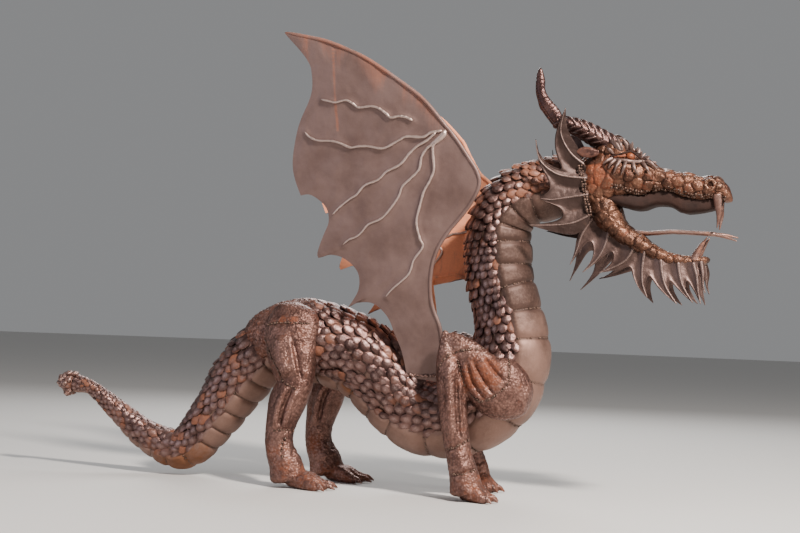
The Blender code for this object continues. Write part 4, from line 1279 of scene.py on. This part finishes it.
def make_wing_rods(wing, side, sweep, front, steel):
    """The rolled rim, the wavy veins and the knuckle where they meet."""
    name = wing.name
    tree = surface_tree(wing)
    rim_path = wing_points(front[np.linspace(0, len(front) - 14, 90).astype(int)], 0.0, side, sweep)
    rim = rod(name + "_rim", rim_path, RIM_RADIUS, RIM_RADIUS, 260, 12)
    high = 0.85 * fade(points_of(rim)[:, 2] / MM, *RIM_RUST_HEIGHTS)
    finished(rim, steel, "wing_steel", wear_and_light=(0.45, 0.5, high if side == RIGHT else 0.9))
    lines = [(vein, face) for face in (side, -side) for vein in WING_VEINS]
    if side == LEFT:
        lines.append((INNER_VEIN, RIGHT))
    parts = []
    for vein, face in lines:
        path = evenly(vein, 5 * len(vein))
        waver = chance.uniform(0.85, 1.15, len(path)) * np.linspace(0.75, 1.15, len(path))
        laid = []
        for x, _, z in wing_points(path, 0.0, side, sweep):
            found = seen_from_side(tree, x, z, face)
            if found:
                laid.append(found[0] / MM + Vector((0, face * 2.0, 0)))
        sizes = VEIN_RADIUS * waver[:len(laid)]
        parts.append(rod("part", laid, sizes, sizes, 150, 10, (0.06, 0.03)))
    knuckle = wing_points(np.array(KNUCKLE, float), 6.0, side, sweep)
    parts.append(rod("part", knuckle, KNUCKLE_SIZES, KNUCKLE_SIZES, 24, 14, (0.2, 0.2)))
    root = wing_points(np.linspace(*WING_ROOT_SEAM, 22), 4.0, side, sweep)
    spots = [(Vector(place * MM), Vector((0, side, 0)), Vector((1, 0, 0))) for place in root]
    make_welds(name + "_root_welds", spots, 10, SKIN_STEEL, "wing_steel")
    # Ground steel at a high crown value: a painted highlight along each vein
    finished(joined(name + "_veins", parts), FANG_STEEL, "wing_steel", wear_and_light=(0.95,))


# Head

def head_points(places, angles, size=1.0, stations=HEAD_STATIONS, square=0.88):
    """Points on a skull-like form with a slightly squared section; angle 0 faces down."""
    x, top, bottom, width = curve_at(stations, places).T
    wide, tall = (np.sign(wave) * np.abs(wave) ** square for wave in (np.sin(angles), np.cos(angles)))
    return np.stack([x, width * size * wide, (top + bottom) / 2 - (top - bottom) / 2 * size * tall], axis=1)


def x_places(stations, shares):
    """Places at shares of the way along x."""
    fine = np.linspace(0, len(stations) - 1, 600)
    x = curve_at(stations, fine)[:, 0]
    return np.interp(x[0] + (x[-1] - x[0]) * shares, x, fine)


def skull(name, rows, columns, stations, square, ends):
    def surface(along, around):
        size = end_taper(along, *ends)
        return head_points(x_places(stations, along), 2 * pi * around, size, stations, square)

    return wrapped(name, rows, columns, surface)


# Swells and hollows of the skull: their line, their radius and how far they stand out
HEAD_FORMS = [
    ([(690, 1012), (728, 1018), (766, 1010), (806, 982)], 12, 5),
    ([(650, 905), (690, 925), (740, 935), (790, 930)], 24, 6),
    ([(652, 930), (664, 965), (690, 985)], 18, 5),
    ([(840, 935), (880, 930), (930, 925)], 18, 4),
    ([(700, 985), (757, 988), (806, 968)], 16, -6), ([(820, 945), (836, 925), (850, 912)], 8, -3),
    (LIP_LINE, 8, 4),
]


def pad_seeds(piece, rows, point, jitter):
    """Where hammered pads sit, clear of the eyes, from rows of a place and its angles."""
    tree = surface_tree(piece)
    seeds = []
    for place, angles in rows:
        for side in SIDES:
            for angle in angles:
                turn = np.array([side * angle + chance.normal(0, jitter[0])])
                here = point(place + chance.normal(0, jitter[1]), turn)[0]
                eye_gap = np.hypot((here[0] - EYE_PLACE[0]) / EYE_STRETCH, here[2] - EYE_PLACE[1])
                if eye_gap > EYE_CLEARANCE or abs(here[1]) < MIDDLE_HALF:
                    seeds.append(np.array(tree.find_nearest(Vector(here * MM))[0]))
    return seeds


def head_pad_rows():
    """Rows of pads across cheek, brow and snout."""
    first, last = HEAD_STATIONS[0][0], HEAD_STATIONS[-1][0]
    sweep = np.linspace(radians(30), radians(174), 60)
    for row, x in enumerate(np.arange(first + 14, last - 8, PAD_PITCH * 0.88)):
        place = x_places(HEAD_STATIONS, np.array([(x - first) / (last - first)]))
        run = run_length(head_points(np.repeat(place, len(sweep)), sweep)[:, 1:])
        count = max(2, round(run[-1] / PAD_PITCH))
        yield place, np.interp((np.arange(count) + (0.8 if row % 2 else 0.3)) / count * run[-1], run, sweep)


def jaw_pad_rows():
    """Rows of pads along the lower jaw."""
    find_places = place_finder(JAW_STATIONS, 300)
    length = run_length(curve_at(JAW_STATIONS, np.linspace(0, len(JAW_STATIONS) - 1, 200))[:, :2])[-1]
    for row, share in enumerate(np.arange(8, length, PAD_PITCH * 0.80) / length):
        place = find_places([share])
        count = max(2, round(pi * curve_at(JAW_STATIONS, place)[0][2] / PAD_PITCH))
        yield place, pi * (np.arange(count) + (0.25 if row % 2 else 0.75)) / count


def cheek_rust(place):
    """The cheek behind the eye has rusted most."""
    gap = np.hypot((place[0] - CHEEK[0]) / CHEEK_RADII[0], (place[2] - CHEEK[1]) / CHEEK_RADII[1])
    return np.clip(1.05 - gap, 0.10, 0.75)


def make_head():
    head = skull("head", 250, 190, HEAD_STATIONS, 0.88, (0.02, 0.05))
    for line, radius, height in HEAD_FORMS:
        stroke(head, line, radius, height)
    dents(head, 22, 3.0)
    seeds = pad_seeds(head, head_pad_rows(), head_points, (0.05, 0.06))
    mosaic(head, seeds, 6.5, 9, [cheek_rust(seed / MM) * chance.uniform(0.3, 1) for seed in seeds])
    return finished(head, HEAD_STEEL, "skin_steel", "head")


def make_palate():
    palate = skull("palate", 90, 40, PALATE_STATIONS, 0.55, (0.04, 0.06))
    finished(dents(palate, 26, 3.0), SHADOW_STEEL, "dark_steel", "palate")


def make_jaw():
    def relief(places, angles):
        """A trough along the top, for the tongue."""
        return -TROUGH_DEPTH * np.exp(-((from_belly(angles) - pi) / 0.5) ** 2)

    def point(place, angle):
        return tube_points(JAW_STATIONS, place, angle)

    jaw = dents(tube("jaw", JAW_STATIONS, 220, 110, relief, ends=(0.03, 0.05)), 20, 2.5)
    seeds = pad_seeds(jaw, jaw_pad_rows(), point, (0.08, 0.05))
    mosaic(jaw, seeds, 5.5, 8, chance.uniform(0, 0.8, len(seeds)) ** 4 - 0.15)
    return finished(jaw, HEAD_STEEL, "skin_steel", "jaw")


def root_distance(root, value):
    """A fan's distance from the middle plane, which grows away from its root along x or z."""
    near, start, slope = root
    return near + slope * (start - value)


def make_face_welds(head, jaw):
    """Rows of beads along the lips and under the jaw, and down the root of each frill."""
    spots = []
    head_tree = surface_tree(head)
    jaw_tree = surface_tree(jaw)
    for side in SIDES:
        spots += bead_spots(head_tree, LIP_LINE, side, 6)
        spots += bead_spots(head_tree, [(x, z + 7) for x, z in LIP_LINE], side, 7)
        spots += bead_spots(jaw_tree, JAW_EDGE, side, 8)
        for offset in (0, 8):
            for x, z in evenly([(x - offset, z) for x, z in FRILL_SEAM], 20):
                place = Vector((x, side * (root_distance(FRILL_ROOT, x) + 3), z)) * MM
                spots.append((place, Vector((0, side, 0)), Vector((0, 0, 1))))
    make_welds("face_welds", spots, 9, SEAM_STEEL, "skin_steel")


def make_tongue():
    """A strip along the mouth that splits into two tips."""
    parts = [rod("part", [(x, 0, z) for x, z in TONGUE_LINE], 6.8, 14, 60, 14, (0.02, 0.05))]
    for side in SIDES:
        path = [(x, side * y, z + side * spread) for (x, z, y), spread in zip(TONGUE_TIP, TONGUE_TIP_SPREAD)]
        parts.append(rod("part", path, [5.5, 4.5, 2], [8, 6, 2], 30, 12, (0.06, 0.04)))
    tongue = dents(joined("tongue", parts), 18, 1.5)
    finished(tongue, FANG_STEEL, "skin_steel", "tongue", wear_and_light=(0.6, 0.5, 0.4))


def proud_of_smooth(piece):
    """How far each point stands over a smoothed copy of the piece, in millimetres."""
    points = points_of(piece)
    first, second = rows_of(piece.data.edges, "vertices", 2, np.int32).T
    smooth = points.astype(float)
    degree = np.bincount(first, minlength=len(points)) + np.bincount(second, minlength=len(points))
    for _ in range(6):
        total = np.zeros_like(smooth)
        for axis in range(3):
            total[:, axis] += np.bincount(first, smooth[second, axis], len(points))
            total[:, axis] += np.bincount(second, smooth[first, axis], len(points))
        smooth = 0.4 * smooth + 0.6 * total / np.maximum(degree, 1)[:, None]
    return ((points - smooth) * normals_of(piece)).sum(axis=1) / MM


def make_horn(name, side, shift, lift):
    """A horn of plates folded over each other like a rope, and its upturned end."""
    def strands(along, angles):
        phase = HORN_LOBES * along - HORN_TWIST * from_belly(angles - side * pi / 2) / pi
        return 0.84 + 0.24 * (phase % 1) ** 1.2

    def beads(along, angles):
        return 1 + 0.07 * np.abs(np.sin(pi * HORN_TIP_BEADS * along)) * (np.abs(np.sin(angles)) > 0.3)

    parts = []
    for stations, flatness, rows, columns, ends, relief in (
        (HORN_STATIONS, 1, 220, 48, (0.04, 0.05), strands),
        (HORN_TIP_STATIONS, 0.75, 110, 28, (0.06, 0.03), beads),
    ):
        x, z, size, y = np.array(stations, float).T
        path = np.stack([x + shift, side * y, z + lift], axis=1)
        parts.append(rod("part", path, size, flatness * size, rows, columns, ends, relief=relief))
    horn = dents(joined(name, parts), 14, 1.6)
    # Ridges get a higher crown value and folds a lower one: wear and painted highlight on the ridges,
    # painted shade in the folds
    crown = 0.8 * np.clip(0.42 + 0.35 * proud_of_smooth(horn), 0, 1)
    finished(horn, SCALE_STEEL, "scale_steel", name, wear_and_light=(crown, 0.3))


def fan_border(rib, inner):
    """An outer line beside an end rib, on the side away from the web."""
    shares = np.array([0.0, 0.35, 0.7, 1.0])
    own = curve_at(rib, 3 * shares)
    away = unit(own - curve_at(inner, 3 * shares)) * FAN_BORDER * np.array([0.4, 0.65, 0.3, 0.0])[:, None]
    return own + away


def web(first, second, shape, dish, stand):
    """One dished web between two ribs; its outer edge is a deep curve."""
    reach, hollow_share, to_first, to_second = shape

    def surface(along, across):
        before = np.clip(1 - across / hollow_share, 0, 1) ** to_first
        after = np.clip((across - hollow_share) / (1 - hollow_share), 0, 1) ** to_second
        place = 3 * along * (reach + (1 - reach) * np.maximum(before, after))
        flat = curve_at(first, place) * (1 - across)[:, None] + curve_at(second, place) * across[:, None]
        hollow = -dish * np.sin(pi * across) ** 1.3 * np.sin(pi * np.clip(along * 0.9 + 0.1, 0, 1)) ** 0.6
        return stand(flat, hollow)

    return wrapped("part", 44, 22, surface, closed=False)


def make_fan(name, ribs, webs, root, axis, side, rib_radius, dish, crown, borders=None):
    """Webs between tapering ribs. Axis 0 or 1 says whether the fan spreads out along x or z."""
    def stand(flat, hollow):
        return upright(flat, side * (root_distance(root, flat[:, axis]) + hollow))

    borders = borders or (fan_border(ribs[0], ribs[1]), fan_border(ribs[-1], ribs[-2]))
    lines = [borders[0], *ribs, borders[1]]
    shapes = [BORDER_WEB, *webs, BORDER_WEB]
    dishes = [0.0] + [dish] * len(webs) + [0.0]
    fan = joined(name, [web(*parts, stand) for parts in zip(lines, lines[1:], shapes, dishes)])
    close_seams(fan, 5e-5)
    dents(fan, 24, 2.0)
    apply_modifier(fan, "SOLIDIFY", thickness=FAN_SHEET * MM, offset=0)
    finished(fan, FAN_STEEL, "wing_steel", name, wear_and_light=(crown, crown), sharp=radians(55))
    sizes = rib_radius * np.linspace(1, 0.28, 10)
    paths = [stand(curve_at(rib, np.linspace(0, 3, 10)), 1.5) for rib in ribs]
    bars = joined(name + "_ribs", [rod("part", path, sizes, sizes, 60, 12, (0.05, 0.02)) for path in paths])
    finished(bars, FAN_STEEL, "wing_steel", wear_and_light=(0.72,))


def lengthened(rib, reach):
    """A rib stretched from its root."""
    rib = np.array(rib, float)
    return rib[0] + (rib - rib[0]) * reach


def make_eye(label, side, tree):
    """The eyeball between two lids, in its ring of leaves and lashes."""
    def on_face(line, offsets, least):
        """A line of x and z laid on the side of the head, standing off it by the offsets."""
        path = []
        for (x, z), offset in zip(line, offsets):
            found = seen_from_side(tree, x, z, side)
            distance = abs(found[0].y) / MM if found else 0
            path.append((x, side * (max(distance, least) + offset), z))
        return path

    eye_x, eye_z = EYE_PLACE
    ball = placed(
        bpy.ops.mesh.primitive_uv_sphere_add, (eye_x, side * EYE_DISTANCE, eye_z), radius=EYE_RADIUS * MM,
        segments=32, ring_count=20,
    )
    ball.name = "eye_" + label
    finished(dents(ball, 8, 2.0), EYE_RUST, "eye_rust", "eye_" + label)
    blades = []
    for line, half in EYE_LEAVES:
        path = on_face(line, (0, 6, 10), 58)
        blades.append(rod("part", path, [0.5 * half, half, 1], [2.5, 2.5, 1], 18, 10, (0.05, 0.05)))
    for line in EYE_LASHES:
        path = on_face(line, (5, 12, 6), 50)
        blades.append(rod("part", path, LASH_HALVES, [3, 3, 1.2], 20, 10, (0.05, 0.04)))
    skirt = on_face(LASH_ROOT, (-2, 5, 8, 6, -2), 56)
    blades.append(rod("part", skirt, [2, 4, 5, 5, 2], [2, 3, 4, 3, 2], 40, 14))
    ring = dents(joined("eye_ring_" + label, blades), 9, 1.5)
    finished(ring, FAN_STEEL, "skin_steel", "eye_ring_" + label, wear_and_light=(0.66, 0.6, 0.3))
    lid = rod("eyelid_" + label, on_face(INNER_LID, (2, 6, 6), 56), [2, 5, 5], [2, 4, 4], 30, 14)
    finished(lid, HEAD_STEEL, "skin_steel", wear_and_light=(0.45, 0.4, 0.55))
    slit = rod("eye_slit_" + label, on_face(EYE_SLIT, (0, 5, 10, 12, 10, 5, 0), 58), 2.4, 2.4, 50, 12)
    finished(slit, SHADOW_STEEL, "dark_steel")


def make_nostril(name, side):
    """A curled ring on the snout and a round lump in front of it."""
    (x, z), (bump_x, bump_z) = NOSTRIL_PLACE, NOSTRIL_BUMP
    ring = placed(
        bpy.ops.mesh.primitive_torus_add, (x, side * NOSTRIL_DISTANCE, z), rotation=(pi / 2, 0, 0),
        major_segments=36, minor_segments=14, major_radius=13 * MM, minor_radius=5 * MM,
    )
    lump = placed(
        bpy.ops.mesh.primitive_uv_sphere_add, (bump_x, side * NOSTRIL_BUMP_DISTANCE, bump_z), radius=11 * MM,
        segments=20, ring_count=12,
    )
    nostril = dents(joined(name, [ring, lump]), 9, 3.0)
    finished(nostril, HEAD_STEEL, "skin_steel", name, wear_and_light=(0.75,))


def make_fang(name, line, side, distance):
    path = [(x, side * distance, z) for x, z in line]
    fang = dents(rod(name, path, FANG_SIZES, FANG_SIZES, 50, 20, (0.05, 0.03)), 16, 1.2)
    finished(fang, FANG_STEEL, "fang_steel", name, wear_and_light=(0.45, 0.3, 0.3))


def make_ear(name, side):
    """A small leaf folded along its middle."""
    def fold(along, angles):
        return 1 - 0.45 * np.exp(-((from_belly(angles - side * pi / 2) / 0.7) ** 2))

    path = [(x, side * EAR_DISTANCE, z) for x, z in EAR_LEAF]
    ear = dents(rod(name, path, [3, 15, 14, 5], [2, 8, 8, 4], 50, 30, relief=fold), 14, 2.0)
    finished(ear, SCALE_STEEL, "skin_steel", name, wear_and_light=(0.5, 0.5, 0.5))


def make_head_group():
    head = make_head()
    make_palate()
    make_face_welds(head, make_jaw())
    face = surface_tree(head)
    make_tongue()
    left_ribs = [lengthened(rib, reach) for rib, reach in zip(BEARD_RIBS, LEFT_BEARD_REACH)]
    for label, side, shift, lift, beard_ribs in (
        ("right", RIGHT, 0, 0, BEARD_RIBS), ("left", LEFT, HORN_STAGGER, HORN_LIFT, left_ribs),
    ):
        make_horn("horn_" + label, side, shift, lift)
        # The frill's low crown value, which is also its tint, paints it darker than the beard: painted shade
        frill = (FRILL_RIBS, FRILL_WEBS, FRILL_ROOT, 0, side, 3.4, 9, 0.19, FRILL_BORDERS)
        make_fan("frill_" + label, *frill)
        make_fan("beard_" + label, beard_ribs, BEARD_WEBS, BEARD_ROOT, 1, side, 5, 6, 0.40)
        make_eye(label, side, face)
        make_nostril("nostril_" + label, side)
        make_ear("ear_" + label, side)
        make_fang("upper_fang_" + label, UPPER_FANG, side, UPPER_FANG_DISTANCE)
        make_fang("lower_fang_" + label, LOWER_FANG, side, LOWER_FANG_DISTANCE)


# Stage

# The camera is held a little askew, at the height of the photograph's horizon
CAMERA_DISTANCE = 4.4
CAMERA_AZIMUTH = radians(18)
CAMERA_ROLL = radians(2.2)
CAMERA_HEIGHT = 0.477
CAMERA_TARGET_X = 0.065
CAMERA_LENS = 66.0
SENSOR_WIDTH = 36
IMAGE_WIDTH, IMAGE_HEIGHT = 800, 533
HORIZON_ROW = 330
# Lamps: name, place, power, size and colour; they face the middle of the dragon
LAMPS = (
    ("key", (3.0, -2.4, 3.7), 560, 0.5, "#fff6ee"), ("fill", (-3.4, -3.0, 1.6), 45, 3.0, "#e6ecff"),
    ("front", (4.2, -0.4, 1.6), 50, 1.6, "#fff6ee"), ("rim", (-0.8, 3.6, 3.2), 140, 2.4, "#ffffff"),
)
LAMP_TARGET = Vector((0, 0, 0.6))


def make_camera():
    """The photograph's view."""
    turn, roll = CAMERA_AZIMUTH, CAMERA_ROLL
    pitch = atan((HORIZON_ROW - IMAGE_HEIGHT / 2) / (CAMERA_LENS / SENSOR_WIDTH * IMAGE_WIDTH))
    forward = Vector((-sin(turn) * cos(pitch), cos(turn) * cos(pitch), sin(pitch)))
    right = Vector((cos(turn), sin(turn), 0))
    up = right.cross(forward)
    axes = Matrix((right * cos(roll) + up * sin(roll), up * cos(roll) - right * sin(roll), -forward))
    place = (CAMERA_TARGET_X + CAMERA_DISTANCE * sin(turn), -CAMERA_DISTANCE * cos(turn), CAMERA_HEIGHT)
    camera = added(bpy.ops.object.camera_add)
    camera.data.lens = CAMERA_LENS
    camera.matrix_world = Matrix.Translation(place) @ axes.transposed().to_4x4()
    bpy.context.scene.camera = camera


def make_stage():
    """A pale round floor that reaches the horizon, soft lamps, a grey world and the camera."""
    floor = added(bpy.ops.mesh.primitive_circle_add, vertices=96, radius=40, fill_type="NGON")
    floor.name = "floor"
    material = bpy.data.materials.new("pale_floor")
    material.use_nodes = True
    shader = material.node_tree.nodes["Principled BSDF"]
    shader.inputs["Base Color"].default_value = linear("#c9c7c4")
    shader.inputs["Roughness"].default_value = 0.9
    floor.data.materials.append(material)
    for name, place, power, size, colour in LAMPS:
        lamp = added(bpy.ops.object.light_add, type="AREA", location=place)
        lamp.name = name
        lamp.data.energy = power
        lamp.data.size = size
        lamp.data.color = linear(colour)[:3]
        lamp.rotation_euler = (LAMP_TARGET - Vector(place)).to_track_quat("-Z", "Y").to_euler()
    world = bpy.data.worlds.new("studio")
    world.use_nodes = True
    background = world.node_tree.nodes["Background"]
    background.inputs["Color"].default_value = linear("#d9dadc")
    background.inputs["Strength"].default_value = 0.36
    bpy.context.scene.world = world
    make_camera()


make_body()
make_scales()
make_belly_ticks()
make_tail_end()
make_rump()
make_legs()
make_wing("wing_right", RIGHT, 0.0, WING_FRONT_ARC)
make_wing("wing_left", LEFT, WING_SWEEP_BACK, LEFT_WING_FRONT_ARC)
make_head_group()
make_stage()
